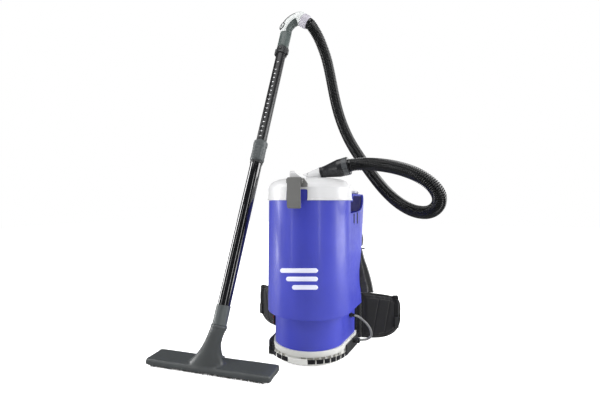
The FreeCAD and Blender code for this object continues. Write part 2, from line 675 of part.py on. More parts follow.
# strip inside the upper tube, behind the detents
parts["detent_strip"] = framed_box(WAND_FRAME, UPPER_R - 3.4, -4.5, 405, UPPER_R - 2.6, 4.5, 750)
parts["tube_lock_clip"] = tube_lock_clip()
button = framed_box(WAND_FRAME, 18.3, -4.5, 786, 21.7, 4.5, 798)
parts["release_button"] = button.cut(cylinder(WAND, 780, 805, 16.6))

# ---------------------------------------------------------------- handle
HANDLE_PATH = [
    along(WAND, 804), along(WAND, 836), along(WAND, 866), (-121.9, 111.9, 1041.6),
    (-112.3, 115.4, 1057.2), (-99.0, 118.7, 1069.3), (-85.0, 121.0, 1074.4),
    along(SWIVEL, -6), along(SWIVEL, 0),
]
HANDLE_PATH = [Vector(*p) for p in HANDLE_PATH]
HANDLE_RADII = [18.6, 18.6, 19.0, 19.0, 19.0, 19.0, 19.2, 19.6, 19.6]
HANDLE_BORE_R = 15.6
KNOB_OUT = square_to(Vector(-0.479, -0.877, 0), WAND_DIR)    # to the front and left
KNOB_C = along(WAND, 884) + KNOB_OUT * 17.5
KNOB = (KNOB_C, KNOB_OUT)
KNOB_STEM_R = 3.0


def handle_loft(path, radii):
    """Skin through round sections square to the path, from the wand to the swivel."""
    normals = [WAND_DIR]
    normals += [unit(path[i] - path[i - 1]) + unit(path[i + 1] - path[i])
                for i in range(1, len(path) - 1)]
    normals.append(SWIVEL_DIR)
    return Part.makeLoft([Part.Wire([Part.makeCircle(radius, point, normal)])
                          for radius, point, normal in zip(radii, path, normals)], True, False)


def wand_handle():
    handle = fuse(handle_loft(HANDLE_PATH, HANDLE_RADII), cylinder(SWIVEL, -11, 0.2, 22.0),
                  cylinder(WAND, 866, 874, 19.9), cylinder(SWIVEL, -1, SWIVEL_L - 9, SWIVEL_R))
    bore_path = [along(WAND, 801)] + HANDLE_PATH[1:-1] + [along(SWIVEL, 1.5)]
    bore = fuse(handle_loft(bore_path, [HANDLE_BORE_R] * len(bore_path)),
                cylinder(SWIVEL, -0.5, SWIVEL_L, 14.6))
    handle = handle.cut(bore)
    return handle.cut(cylinder(KNOB, 0, 20, 12.6)).cut(cylinder(KNOB, -6, 1, KNOB_STEM_R))


def bleed_valve_knob():
    knob = fuse(cylinder(KNOB, 0.3, 4.5, 12.2), cylinder(KNOB, 4.4, 5.6, 9.6),
                cylinder(KNOB, -5, 1, KNOB_STEM_R - CLEARANCE))
    frame = (KNOB_C, WAND_DIR.cross(KNOB_OUT), WAND_DIR, KNOB_OUT)
    return fuse(knob, framed_box(frame, -1.6, -8, 5.4, 1.6, 8, 7.6))


def grip_strip(handle):
    """Thin strip along the outside of the bend."""
    side = Vector(0.342, -0.9397, 0)
    path = [point + unit(side.cross(point - previous)) * 20.2
            for previous, point in zip(HANDLE_PATH[2:7], HANDLE_PATH[3:8])]
    strip = sweep(path, 2.6).cut(handle)
    return largest(strip.cut(cylinder(SWIVEL, -14, 2, 22.1)).cut(cylinder(KNOB, -2, 12, 13.4)))


parts["wand_handle"] = wand_handle()
parts["bleed_valve_knob"] = bleed_valve_knob()
parts["swivel_collar"] = tube(SWIVEL, 2.6, SWIVEL_L - 5.2, 22.5, SWIVEL_R + CLEARANCE)
parts["grip_strip"] = grip_strip(parts["wand_handle"])

# ---------------------------------------------------------------- floor head
HEAD_C = Vector(-214.2, -201.5, 0)
HEAD_TURN = math.radians(3.2)
HEAD_X = Vector(math.cos(HEAD_TURN), math.sin(HEAD_TURN), 0)     # along the head
HEAD_Y = Vector(-math.sin(HEAD_TURN), math.cos(HEAD_TURN), 0)    # towards its back
HEAD_FRAME = (HEAD_C, HEAD_X, HEAD_Y, Z_AXIS)
HALF_L, HALF_D = 366.0 / 2, 75.0 / 2     # half length and half depth
PIVOT_C = Vector(-205.0, -205.5, 40.0)
PIVOT = (PIVOT_C, HEAD_X)
PIVOT_FRAME = (PIVOT_C, HEAD_X, HEAD_Y, Z_AXIS)
BARREL_R, BARREL_HALF = 24.0, 27.0       # neck barrel radius and half length
PIVOT_PIN_R = 4.0
HEAD_SCREWS = [(HEAD_C + HEAD_X * x, Z_AXIS) for x in (-150, 150)]
# insets of the head's sections at the ends, front and back, and their z
HEAD_OUTSIDE = [(0, 0, 0, 6.0), (1, 1, 1, 17.0), (7, 9, 4, 27.0)]
HEAD_INSIDE = [(4, 4, 4, 5.0), (5, 5, 5, 15.0), (11, 13, 8, 23.5)]
SOLE = [(5, 5, 5, 4.2), (5, 5, 5, 7.8)]


def head_wire(end_inset, front_inset, back_inset, z):
    end, front, back = HALF_L - end_inset, -HALF_D + front_inset, HALF_D - back_inset
    outline = [(-end, front), (end, front), (end + 4, front + 10), (end - 2, back - 4),
               (end - 10, back), (-end + 10, back), (-end + 2, back - 4), (-end - 4, front + 10)]
    return closed_wire([HEAD_C + HEAD_X * x + HEAD_Y * y + Vector(0, 0, z) for x, y in outline])


def head_loft(sections):
    return ruled_loft([head_wire(*section) for section in sections])


def pivot_rod(half_length, radius):
    return cylinder(PIVOT, -half_length, half_length, radius)


def pivot_section(distance, yz_points):
    """Outline square to the pivot line, left of its centre."""
    centre = along(PIVOT, -distance)
    return closed_wire([centre + HEAD_Y * y + Vector(0, 0, z) for y, z in yz_points])


def neck_slot():
    """Slot for the neck, from 62 degrees front to 42 degrees back of upright."""
    steps = []
    for angle in range(-62, 43, 8):
        lean = math.radians(angle)
        up = Z_AXIS * math.cos(lean) + HEAD_Y * math.sin(lean)
        steps.append(framed_box((PIVOT_C, HEAD_X, up.cross(HEAD_X), up),
                                -BARREL_HALF - 0.4, -4, 0, BARREL_HALF + 0.4, 4, 46))
    return fuse(*steps)


def head_shell():
    half, radius = BARREL_HALF + 4.5, BARREL_R + 4.5
    hump = fuse(pivot_rod(half, radius),
                framed_box(PIVOT_FRAME, -half, -radius, -26, half, radius, 0))
    hump = hump.common(box(-500, -400, 8.0, 200, 0, 100))
    left_fairing = ruled_loft([
        pivot_section(BARREL_HALF + 4, [(-14, 18), (14, 18), (24, -20), (-26, -20)]),
        pivot_section(BARREL_HALF + 40, [(-10, -18), (10, -18), (18, -22), (-18, -22)])])
    head = fuse(head_loft(HEAD_OUTSIDE), hump, left_fairing).cut(head_loft(HEAD_INSIDE))
    head = head.cut(pivot_rod(BARREL_HALF + 0.4, BARREL_R + 0.4))
    head = head.cut(neck_slot())
    # relief window behind the slot for the neck when it leans right back
    head = head.cut(framed_box(PIVOT_FRAME, -15.5, 18, 8.4, 15.5, 32, 20.4))
    return largest(head.cut(pivot_rod(BARREL_HALF + 6, PIVOT_PIN_R)))


def sole_plate(head):
    sole = head_loft(SOLE).cut(framed_box(HEAD_FRAME, -110, -11, 2, 110, 11, 12))
    sole = sole.cut(pivot_rod(BARREL_HALF + 0.8, BARREL_R + 9))
    for line in HEAD_SCREWS:
        sole = sole.cut(cylinder(line, 0, 12, 2.0))
    return largest(sole.cut(head))


def brush_strip(end_inset, front_y):
    end = HALF_L - end_inset
    return framed_box(HEAD_FRAME, -end, front_y, 0, end, front_y + 5, 4.2)


def neck_elbow():
    """Barrel on the pivot line and a leg up to the wand tube."""
    leg_end = along(WAND, -94)
    middle = PIVOT_C + (leg_end - PIVOT_C) * 0.45 + Vector(-4, 1, -3)
    leg = sweep([PIVOT_C, middle, along(WAND, -102), leg_end], 17.0)
    barrel = pivot_rod(BARREL_HALF, BARREL_R)
    barrel = barrel.cut(pivot_rod(BARREL_HALF + 1, PIVOT_PIN_R + CLEARANCE))
    elbow = fuse(barrel, leg.cut(pivot_rod(60, BARREL_R - 3)), cylinder(WAND, -100, -91, 19.5))
    return largest(elbow.cut(cylinder(WAND, -94, -80, 14.0)))


parts["head_shell"] = head_shell()
parts["sole_plate"] = sole_plate(parts["head_shell"])
parts["brush_strips"] = Part.makeCompound([brush_strip(12, -HALF_D + 7),
                                           brush_strip(16, HALF_D - 12)])
parts["sole_screws"] = Part.makeCompound([
    fuse(cylinder(line, 2.4, 4.2, 4.0), cylinder(line, 4.2, 10.0, 2.0)) for line in HEAD_SCREWS])
parts["neck_elbow"] = neck_elbow()
parts["neck_sleeve"] = fuse(tube(WAND, -90.9, -72.3, 19.2, 14.0),
                            tube(WAND, -72.3, -40, 19.2, LOWER_R + CLEARANCE))
parts["neck_pivot_pins"] = Part.makeCompound([
    cylinder(PIVOT, side * 12, side * (BARREL_HALF + 5.5), PIVOT_PIN_R) for side in SIDES])

# ---------------------------------------------------------------- hip wings
WING_ANGLE = math.radians(27.0)
WING_L, WING_T = 142.0, 13.0
WING_X, WING_Y = 121.0, 131.0    # hinge line of the right wing
WING_HINGE = vertical(WING_X, WING_Y)
WING_ROD_R = 2.5
WING_OUT = Vector(math.cos(WING_ANGLE), math.sin(WING_ANGLE), 0)
WING_NORMAL = Vector(-math.sin(WING_ANGLE), math.cos(WING_ANGLE), 0)
WING_FRAME = (WING_HINGE[0], WING_OUT, WING_NORMAL, Z_AXIS)
LEFT_WING_TURN = 6.0             # the left wing is turned this much further to the front
# outline, (distance from the hinge, z)
WING = [
    (9, 15), (60, 11), (98, 15), (124, 28), (WING_L - 3, 52), (WING_L, 88),
    (WING_L - 2, 121), (WING_L - 11, 134), (108, 143), (50, 153), (9, 157),
]
LOOP_Y = WING_T / 2 + 0.3        # inside face of the webbing loop
LOOP_T = 1.8


def belt_wing():
    start = WING_HINGE[0] - WING_NORMAL * (WING_T / 2)
    outline = [start + WING_OUT * out + Vector(0, 0, z) for out, z in WING]
    wing = Part.Face(closed_wire(outline)).extrude(WING_NORMAL * WING_T)
    rims = select_edges(wing, lambda a, b: abs((a - b).dot(WING_NORMAL)) < 0.1)
    wing = soft_fillet(wing, rims, 4.0)
    wing = fuse(wing, cylinder(WING_HINGE, 46, 134, 5.5),
                framed_box(WING_FRAME, 0, -3.5, 48, 12, 3.5, 132))
    return wing.cut(cylinder(WING_HINGE, 40, 140, WING_ROD_R + CLEARANCE))


def belt_webbing(wing):
    outside = LOOP_Y + LOOP_T
    loop = fuse(box(118, -outside, 38, 132, -LOOP_Y, 138), box(118, LOOP_Y, 38, 132, outside, 138),
                box(118, -outside, 138, 132, outside, 138 + LOOP_T))
    return largest(place(loop, WING_FRAME).cut(wing))


right_wing = belt_wing()
wing_pieces = {
    "belt_wing": right_wing,
    "belt_webbing": belt_webbing(right_wing),
    "belt_buckle": framed_box(WING_FRAME, 119, -LOOP_Y - 8.6, 44, 131, -LOOP_Y - 2.1, 78),
}
for name, piece in wing_pieces.items():
    parts[name + "_right"] = piece
    left_piece = mirrored(piece)
    left_piece.rotate(Vector(-WING_X, WING_Y, 0), Z_AXIS, LEFT_WING_TURN)
    parts[name + "_left"] = left_piece
hinge_rod = cylinder(WING_HINGE, 38, 142, WING_ROD_R)
parts["wing_hinge_rods"] = Part.makeCompound([hinge_rod, mirrored(hinge_rod)])

# ---------------------------------------------------------------- back plate and pad
# right halves of the outlines, bottom to top, (x, z)
PLATE_HALF = [(112, 36), (118, 60), (118, 200), (96, 300), (96, 425), (84, 440)]
PAD_HALF = [(106, 40), (112, 60), (112, 161), (156, 162), (157, 184), (143, 245), (129, 290),
            (104, 334), (92, 360), (92, 420), (80, 436)]
STANDOFFS = [(60, 112), (300, 108.4), (420, 141)]    # (z, y) of the back face


def back_y(z):
    """y of the lumbar curve at height z."""
    for (z0, y0), (z1, y1) in zip(BACK, BACK[1:]):
        if z0 <= z <= z1:
            return y0 + (y1 - y0) * (z - z0) / (z1 - z0)


def back_layer(near, far, half_outline):
    """Layer from near to far behind the lumbar curve, trimmed to a symmetric outline."""
    z_low, z_high = half_outline[0][1], half_outline[-1][1]
    rows = [(z_low, back_y(z_low))] + [(z, y) for z, y in BACK if z_low < z < z_high]
    rows.append((z_high, back_y(z_high)))
    section = [(y + near, z) for z, y in rows] + [(y + far, z) for z, y in rows[::-1]]
    outline = half_outline + [(-x, z) for x, z in half_outline[::-1]]
    return x_prism(-300, 600, section).common(y_prism(-50, 400, outline))


def back_plate():
    """Plate with an ear above and below each wing."""
    plate = back_layer(6.5, 10.0, PLATE_HALF)
    for z in (39, 136.4):
        ear = fuse(cylinder(WING_HINGE, z, z + 5, 6.0), box(108, 118.8, z, 121, 131, z + 5))
        ear = ear.cut(cylinder(WING_HINGE, z - 1, z + 6, WING_ROD_R))
        plate = fuse(plate, ear, mirrored(ear))
    return plate


def standoff(side, z, y):
    """Post from the canister's back face to the back plate."""
    post = cylinder((Vector(side * 60, y, z), Vector(0, 1, 0)), -2.8, 6.3, 4.0)
    post = largest(post.cut(parts["canister_shell"]).cut(parts["motor_housing"]))
    return largest(post.cut(parts["back_plate"]))


parts["back_plate"] = back_plate()
parts["back_pad"] = largest(back_layer(10.5, 27.0, PAD_HALF).cut(parts["back_plate"]))
parts["harness_standoffs"] = Part.makeCompound([
    standoff(side, z, y) for side in SIDES for z, y in STANDOFFS])

# ---------------------------------------------------------------- shoulder straps
# centrelines on the right side, (x, y, z)
STRAP_PATH = [(66, 173, 426), (76, 188, 410), (96, 196, 372), (110, 191, 330), (118, 182, 300)]
WEBBING_PATH = [(120.5, 180.0, 292), (128, 171, 262), (141, 168, 222), (152, 169.5, 180),
                (157, 170, 158)]
straps, webbings, buckles = [], [], []
for side in SIDES:
    strap = band([(side * x, y, z) for x, y, z in STRAP_PATH], X_AXIS, 24, 5)
    strap = largest(strap.cut(parts["back_pad"]))
    webbing = band([(side * x, y, z) for x, y, z in WEBBING_PATH],
                   Vector(side * 0.5, 0.86, 0), 10, 1.2)
    buckle = box(side * 108, 178.2, 293.0, side * 134, 182.2, 297.5)
    straps.append(strap)
    webbings.append(webbing)
    buckles.append(largest(buckle.cut(strap).cut(webbing)))
parts["shoulder_straps"] = Part.makeCompound(straps)
parts["strap_webbing"] = Part.makeCompound(webbings)
parts["strap_buckles"] = Part.makeCompound(buckles)

# ---------------------------------------------------------------- export
for name, shape in parts.items():
    solids = shape.Solids
    shape = solids[0] if len(solids) == 1 else Part.makeCompound(solids)
    shape.exportStep("parts/" + name + ".step")
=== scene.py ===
import bpy, bmesh, math, random
import numpy as np
from mathutils import Vector, Matrix


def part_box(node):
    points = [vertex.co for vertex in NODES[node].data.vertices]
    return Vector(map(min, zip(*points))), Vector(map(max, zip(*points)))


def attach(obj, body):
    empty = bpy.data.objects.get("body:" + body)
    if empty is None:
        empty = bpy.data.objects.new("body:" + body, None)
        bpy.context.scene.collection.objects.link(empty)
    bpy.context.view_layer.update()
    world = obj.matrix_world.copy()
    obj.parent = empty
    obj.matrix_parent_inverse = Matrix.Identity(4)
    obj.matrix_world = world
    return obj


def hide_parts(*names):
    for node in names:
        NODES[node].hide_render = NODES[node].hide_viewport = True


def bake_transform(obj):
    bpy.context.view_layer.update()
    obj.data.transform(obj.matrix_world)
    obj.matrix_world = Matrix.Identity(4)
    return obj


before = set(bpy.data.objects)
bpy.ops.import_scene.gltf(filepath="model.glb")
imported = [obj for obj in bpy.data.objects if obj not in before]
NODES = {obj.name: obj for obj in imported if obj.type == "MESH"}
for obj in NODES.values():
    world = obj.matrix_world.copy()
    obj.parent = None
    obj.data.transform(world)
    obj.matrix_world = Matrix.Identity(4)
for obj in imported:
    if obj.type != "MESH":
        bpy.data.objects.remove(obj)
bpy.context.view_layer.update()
random.seed(7)
MM = 0.001


def V(*p):
    return Vector(p)


def mv(*p):
    return Vector((p[0] * MM, p[1] * MM, p[2] * MM))


# ------------------------------------------------------------------ materials
class Mat:
    def __init__(self, name):
        self.m = bpy.data.materials.new(name)
        self.m.use_nodes = True
        self.nt = self.m.node_tree
        self.b = self.nt.nodes["Principled BSDF"]
        self.tc = self.nt.nodes.new("ShaderNodeTexCoord")
        self.co = self.tc.outputs["Object"]
        self.norm = None

    def node(self, kind, **kw):
        n = self.nt.nodes.new(kind)
        for k, v in kw.items():
            if k in n.inputs:
                n.inputs[k].default_value = v
            else:
                setattr(n, k, v)
        return n

    def link(self, a, b):
        self.nt.links.new(a, b)

    def noise(self, scale, detail=3, rough=0.55, co=None):
        n = self.node("ShaderNodeTexNoise")
        n.inputs["Scale"].default_value = scale
        n.inputs["Detail"].default_value = detail
        n.inputs["Roughness"].default_value = rough
        self.link(co or self.co, n.inputs["Vector"])
        return n.outputs["Fac"]

    def ramp(self, fac, a, b, p0=0.3, p1=0.7):
        r = self.node("ShaderNodeValToRGB")
        r.color_ramp.elements[0].position = p0
        r.color_ramp.elements[1].position = p1
        r.color_ramp.elements[0].color = (*a, 1) if len(a) == 3 else a
        r.color_ramp.elements[1].color = (*b, 1) if len(b) == 3 else b
        self.link(fac, r.inputs["Fac"])
        return r.outputs["Color"]

    def remap(self, fac, a, b, f0=0.3, f1=0.7):
        r = self.node("ShaderNodeMapRange")
        r.inputs["From Min"].default_value = f0
        r.inputs["From Max"].default_value = f1
        r.inputs["To Min"].default_value = a
        r.inputs["To Max"].default_value = b
        self.link(fac, r.inputs["Value"])
        return r.outputs["Result"]

    def mix(self, fac, a, b, mode="MIX"):
        m = self.node("ShaderNodeMix")
        m.data_type = "RGBA"
        m.blend_type = mode
        for s, x in ((0, fac), (6, a), (7, b)):
            if hasattr(x, "is_output"):
                self.link(x, m.inputs[s])
            elif isinstance(x, (tuple, list)):
                m.inputs[s].default_value = (*x, 1) if len(x) == 3 else x
            else:
                m.inputs[s].default_value = x
        return m.outputs[2]

    def math(self, op, a, b=None):
        m = self.node("ShaderNodeMath")
        m.operation = op
        for s, x in ((0, a), (1, b)):
            if x is None:
                continue
            if hasattr(x, "is_output"):
                self.link(x, m.inputs[s])
            else:
                m.inputs[s].default_value = x
        return m.outputs[0]

    def bevel(self, r=0.0006):
        n = self.node("ShaderNodeBevel")
        n.samples = 4
        n.inputs["Radius"].default_value = r
        self.norm = n.outputs["Normal"]

    def bump(self, height, strength=0.3, dist=0.0003):
        n = self.node("ShaderNodeBump")
        n.inputs["Strength"].default_value = strength
        n.inputs["Distance"].default_value = dist
        self.link(height, n.inputs["Height"])
        if self.norm is not None:
            self.link(self.norm, n.inputs["Normal"])
        self.norm = n.outputs["Normal"]

    def done(self):
        if self.norm is not None:
            self.link(self.norm, self.b.inputs["Normal"])
        return self.m


def plastic(name, col, rough=0.35, spec=0.5, grain=900.0, gstr=0.12, var=0.12, coat=0.0, bevel=0.0006, sub=0.0):
    k = Mat(name)
    big = k.noise(9.0, 3)
    mid = k.noise(60.0, 4)
    dark = tuple(c * (1 - var) for c in col)
    lite = tuple(min(1, c * (1 + var)) for c in col)
    c = k.mix(k.remap(big, 0, 1, 0.35, 0.65), dark, lite)
    dust = k.remap(k.noise(400.0, 2), 0.0, 0.10, 0.62, 0.75)
    c = k.mix(dust, c, tuple(min(1, x * 1.6 + 0.02) for x in col))
    k.link(c, k.b.inputs["Base Color"])
    k.link(k.remap(mid, rough * 0.85, rough * 1.2, 0.3, 0.7), k.b.inputs["Roughness"])
    k.b.inputs["Specular IOR Level"].default_value = spec
    k.b.inputs["Coat Weight"].default_value = coat
    k.b.inputs["Coat Roughness"].default_value = 0.12
    if sub:
        k.b.inputs["Subsurface Weight"].default_value = sub
        k.b.inputs["Subsurface Radius"].default_value = (0.002, 0.002, 0.003)
    if bevel:
        k.bevel(bevel)
    v = k.node("ShaderNodeTexVoronoi")
    v.inputs["Scale"].default_value = grain
    k.link(k.co, v.inputs["Vector"])
    k.bump(v.outputs["Distance"], gstr, 0.00012)
    k.bump(k.noise(45.0, 2), 0.05, 0.0006)
    return k.done()


def metal(name, col, rough=0.22, aniso=0.4, scratch=0.15, bevel=0.0004):
    k = Mat(name)
    k.b.inputs["Metallic"].default_value = 1.0
    n = k.noise(25.0, 4)
    k.link(k.mix(k.remap(n, 0, 1), tuple(c * 0.85 for c in col), col), k.b.inputs["Base Color"])
    mp = k.node("ShaderNodeMapping")
    mp.inputs["Scale"].default_value = (1, 1, 18)
    k.link(k.co, mp.inputs["Vector"])
    s = k.noise(220.0, 3, 0.6, mp.outputs["Vector"])
    k.link(k.remap(s, rough * 0.7, rough * 1.5), k.b.inputs["Roughness"])
    k.b.inputs["Anisotropic"].default_value = aniso
    if bevel:
        k.bevel(bevel)
    k.bump(s, scratch, 0.00008)
    return k.done()


def weave(name, col, scale=1400.0, rough=0.85, strength=0.6, sheen=0.25, dist=0.0004, stripe=None):
    # woven webbing: two crossed wave textures, thread colour variation, sheen
    k = Mat(name)
    w1 = k.node("ShaderNodeTexWave")
    w1.bands_direction = "Z"
    w1.inputs["Scale"].default_value = scale * 0.16
    w1.inputs["Distortion"].default_value = 0.4
    w2 = k.node("ShaderNodeTexWave")
    w2.bands_direction = "DIAGONAL"
    w2.inputs["Scale"].default_value = scale * 0.12
    w2.inputs["Distortion"].default_value = 0.4
    k.link(k.co, w1.inputs["Vector"])
    k.link(k.co, w2.inputs["Vector"])
    h = k.math("MAXIMUM", w1.outputs["Fac"], w2.outputs["Fac"])
    n = k.noise(120.0, 4)
    c = k.mix(k.remap(n, 0, 1), tuple(x * 0.7 for x in col), tuple(min(1, x * 1.35) for x in col))
    c = k.mix(k.math("MULTIPLY", h, 0.4), tuple(x * 0.4 for x in col), c)
    k.link(c, k.b.inputs["Base Color"])
    k.link(k.remap(n, rough * 0.9, min(1, rough * 1.1)), k.b.inputs["Roughness"])
    k.b.inputs["Sheen Weight"].default_value = sheen
    k.b.inputs["Sheen Roughness"].default_value = 0.5
    k.b.inputs["Specular IOR Level"].default_value = 0.25
    k.bump(h, strength, dist)
    k.bump(k.noise(700.0, 2), 0.25, 0.0002)
    return k.done()


def airmesh(name, col, cell=420.0):
    # spacer mesh: small round openings over a darker backing
    k = Mat(name)
    v = k.node("ShaderNodeTexVoronoi")
    v.inputs["Scale"].default_value = cell
    v.inputs["Randomness"].default_value = 0.25
    k.link(k.co, v.inputs["Vector"])
    hole = k.remap(v.outputs["Distance"], 0, 1, 0.2, 0.5)
    n = k.noise(40.0, 4)
    base = k.mix(k.remap(n, 0, 1), tuple(x * 0.75 for x in col), tuple(x * 1.3 for x in col))
    k.link(k.mix(hole, tuple(x * 0.25 for x in col), base), k.b.inputs["Base Color"])
    k.b.inputs["Roughness"].default_value = 0.85
    k.b.inputs["Sheen Weight"].default_value = 0.3
    k.b.inputs["Specular IOR Level"].default_value = 0.25
    k.bump(hole, 0.7, 0.0006)
    k.bump(k.noise(900.0, 2), 0.2, 0.0002)
    return k.done()


BLUE = (0.036, 0.045, 0.40)
M = {
    "blue": plastic("blue_shell", BLUE, 0.40, 0.5, 1300.0, 0.10, 0.05, 0.15, 0.0012),
    # dark navy for the side pocket panels: painted shade of the blue shell inside the pocket
    "navy": plastic("navy_pocket_painted_shade", (0.010, 0.009, 0.065), 0.75, 0.12, 900.0, 0.25, 0.10),
    "white": plastic("lid_white", (0.60, 0.60, 0.605), 0.36, 0.5, 1500.0, 0.05, 0.02, 0.12, 0.0010),
    "ring": plastic("ring_grey", (0.58, 0.58, 0.55), 0.42, 0.45, 1000.0, 0.15, 0.04),
    "latch": plastic("latch_grey", (0.125, 0.125, 0.120), 0.5, 0.4, 800.0, 0.35, 0.08, 0.0, 0.0012),
    "black": plastic("black_plastic", (0.018, 0.019, 0.020), 0.42, 0.45, 900.0, 0.25, 0.15),
    "cuff": plastic("cuff_black", (0.014, 0.0145, 0.0165), 0.24, 0.5, 1000.0, 0.15, 0.12, 0.05),
    "collar": plastic("collar_grey", (0.058, 0.066, 0.068), 0.42, 0.45, 1000.0, 0.22, 0.08),
    "clamp": plastic("clamp_grey", (0.060, 0.064, 0.068), 0.3, 0.45, 1000.0, 0.2, 0.08),
    "handle": plastic("handle_light", (0.60, 0.62, 0.61), 0.34, 0.5, 1400.0, 0.08, 0.03, 0.1, 0.0008),
    "knob": plastic("dial_grey", (0.30, 0.31, 0.31), 0.35, 0.5, 1200.0, 0.12, 0.05),
    "swivel": plastic("swivel_grey", (0.42, 0.40, 0.45), 0.3, 0.5, 1400.0, 0.08, 0.04, 0.15),
    "head": plastic("head_charcoal", (0.052, 0.057, 0.058), 0.38, 0.45, 800.0, 0.3, 0.10, 0.0, 0.0015),
    "neck": plastic("neck_charcoal", (0.066, 0.074, 0.075), 0.36, 0.45, 800.0, 0.25, 0.10, 0.0, 0.001),
    "rubber": plastic("rubber_black", (0.016, 0.016, 0.016), 0.75, 0.3, 700.0, 0.4, 0.2),
    "cable": plastic("cord_grey", (0.17, 0.17, 0.17), 0.55, 0.4, 700.0, 0.3, 0.12),
    "red": plastic("switch_red", (0.55, 0.018, 0.012), 0.28, 0.5, 1200.0, 0.08, 0.05, 0.2),
    "tube": None,
    "steel": metal("bright_steel", (0.72, 0.72, 0.72), 0.22),
    "can": metal("motor_can", (0.42, 0.42, 0.44), 0.32),
    "alu": metal("pressed_aluminium", (0.75, 0.75, 0.76), 0.28),
    "webb": weave("webbing_black", (0.007, 0.007, 0.008), 1400.0, 0.8, 0.6, 0.06),
    "webg": weave("webbing_grey", (0.20, 0.20, 0.205)),
    "mesh": airmesh("air_mesh_black", (0.030, 0.030, 0.032)),
    "cloth": weave("ripstop_black", (0.017, 0.017, 0.019), 2600.0, 0.6, 0.35, 0.18, 0.0002),
    "piping": weave("piping_black", (0.010, 0.010, 0.010), 2200.0, 0.6, 0.3, 0.15, 0.0002),
    "pipeg": weave("piping_grey", (0.33, 0.33, 0.33), 2200.0, 0.7, 0.3, 0.15, 0.0002),
    "pipel": weave("piping_light_grey", (0.62, 0.62, 0.62), 2200.0, 0.6, 0.3, 0.15, 0.0002),
    "paper": weave("filter_paper", (0.74, 0.72, 0.65), 1200.0, 0.95, 0.25, 0.1, 0.0002),
    "felt": weave("filter_felt", (0.60, 0.60, 0.58), 900.0, 0.98, 0.5, 0.4, 0.0004),
    "thread": weave("thread_grey", (0.10, 0.10, 0.10), 3000.0, 0.7, 0.3, 0.2, 0.0001),
}


def tube_mat():
    k = Mat("tube_black_chrome")
    k.b.inputs["Metallic"].default_value = 0.0
    n = k.noise(8.0, 3)
    k.link(k.mix(k.remap(n, 0, 1), (0.003, 0.003, 0.004), (0.006, 0.006, 0.007)), k.b.inputs["Base Color"])
    mp = k.node("ShaderNodeMapping")
    mp.inputs["Scale"].default_value = (1, 1, 0.05)
    k.link(k.co, mp.inputs["Vector"])
    s = k.noise(300.0, 3, 0.6, mp.outputs["Vector"])
    k.link(k.remap(s, 0.04, 0.09), k.b.inputs["Roughness"])
    k.b.inputs["Specular IOR Level"].default_value = 0.6
    k.b.inputs["Coat Weight"].default_value = 0.6
    k.b.inputs["Coat Roughness"].default_value = 0.06
    k.bump(s, 0.04, 0.0001)
    return k.done()


def tube_satin():
    k = Mat("tube_satin_black")
    k.b.inputs["Metallic"].default_value = 0.3
    n = k.noise(12.0, 3)
    k.link(k.mix(k.remap(n, 0, 1), (0.007, 0.007, 0.008), (0.014, 0.014, 0.015)), k.b.inputs["Base Color"])
    s = k.noise(500.0, 3, 0.6)
    k.link(k.remap(s, 0.26, 0.38), k.b.inputs["Roughness"])
    k.b.inputs["Specular IOR Level"].default_value = 0.6
    k.bump(s, 0.06, 0.0001)
    return k.done()


M["tube"] = tube_mat()
M["satin"] = tube_satin()


def hose_mat():
    k = Mat("hose_black_corrugated")
    n = k.noise(14.0, 3)
    k.link(k.mix(k.remap(n, 0, 1), (0.003, 0.0033, 0.0036), (0.006, 0.0065, 0.007)), k.b.inputs["Base Color"])
    s = k.noise(350.0, 3)
    k.link(k.remap(s, 0.13, 0.20), k.b.inputs["Roughness"])
    k.b.inputs["Specular IOR Level"].default_value = 0.5
    k.bump(s, 0.10, 0.0002)
    return k.done()


M["hose"] = hose_mat()
M["lid_w"] = plastic("strip_white", (0.85, 0.85, 0.85), 0.3)


def bristle_mat():
    k = Mat("bristle_black")
    n = k.noise(900.0, 2)
    k.link(k.mix(k.remap(n, 0, 1), (0.006, 0.006, 0.006), (0.03, 0.03, 0.03)), k.b.inputs["Base Color"])
    k.b.inputs["Roughness"].default_value = 0.55
    k.bump(n, 0.2, 0.0002)
    return k.done()


M["bristle"] = bristle_mat()

CADMAT = {
    "canister_shell": "blue", "side_grip_inserts": "navy", "motor_housing": "blue", "switch_bezel": "black", "switch_rocker": "red",
    "base_ring": "ring", "base_plate": "black", "rubber_foot_pad": "rubber", "base_tray": "black", "exhaust_filter": "paper", "base_screws": "steel",
    "motor_body": "can", "motor_shaft": "steel", "impeller": "alu", "fan_housing": "can", "motor_gasket": "rubber", "pre_motor_filter": "felt", "filter_bag": "paper",
    "lid_shell": "white", "lid_hinge_pins": "steel", "lid_gasket": "rubber", "latch_bracket": "latch", "latch_pin": "steel", "latch_lever": "latch",
    "hose_cuff": "cuff", "hose_clamp": "clamp", "suction_hose": "hose",
    "lower_tube": "tube", "tube_guide_bush": "black", "telescopic_collar": "collar", "upper_tube": "satin", "detent_strip": "lid_w", "tube_lock_clip": "black", "release_button": "black",
    "wand_handle": "handle", "bleed_valve_knob": "knob", "swivel_collar": "swivel", "grip_strip": "black",
    "head_shell": "head", "sole_plate": "black", "brush_strips": "bristle", "sole_screws": "steel", "neck_elbow": "head", "neck_sleeve": "neck", "neck_pivot_pins": "steel",
    "back_plate": "black", "back_pad": "mesh", "harness_standoffs": "black", "belt_wing_left": "cloth", "belt_wing_right": "cloth", "wing_hinge_rods": "steel",
    "belt_webbing_left": "webb", "belt_webbing_right": "webb", "belt_buckle_left": "black", "belt_buckle_right": "black",
    "shoulder_straps": "mesh", "strap_webbing": "webg", "strap_buckles": "steel", "power_pigtail": "cable", "strain_relief": "black",
}
for n, o in NODES.items():
    o.data.materials.clear()
    o.data.materials.append(M[CADMAT[n]])

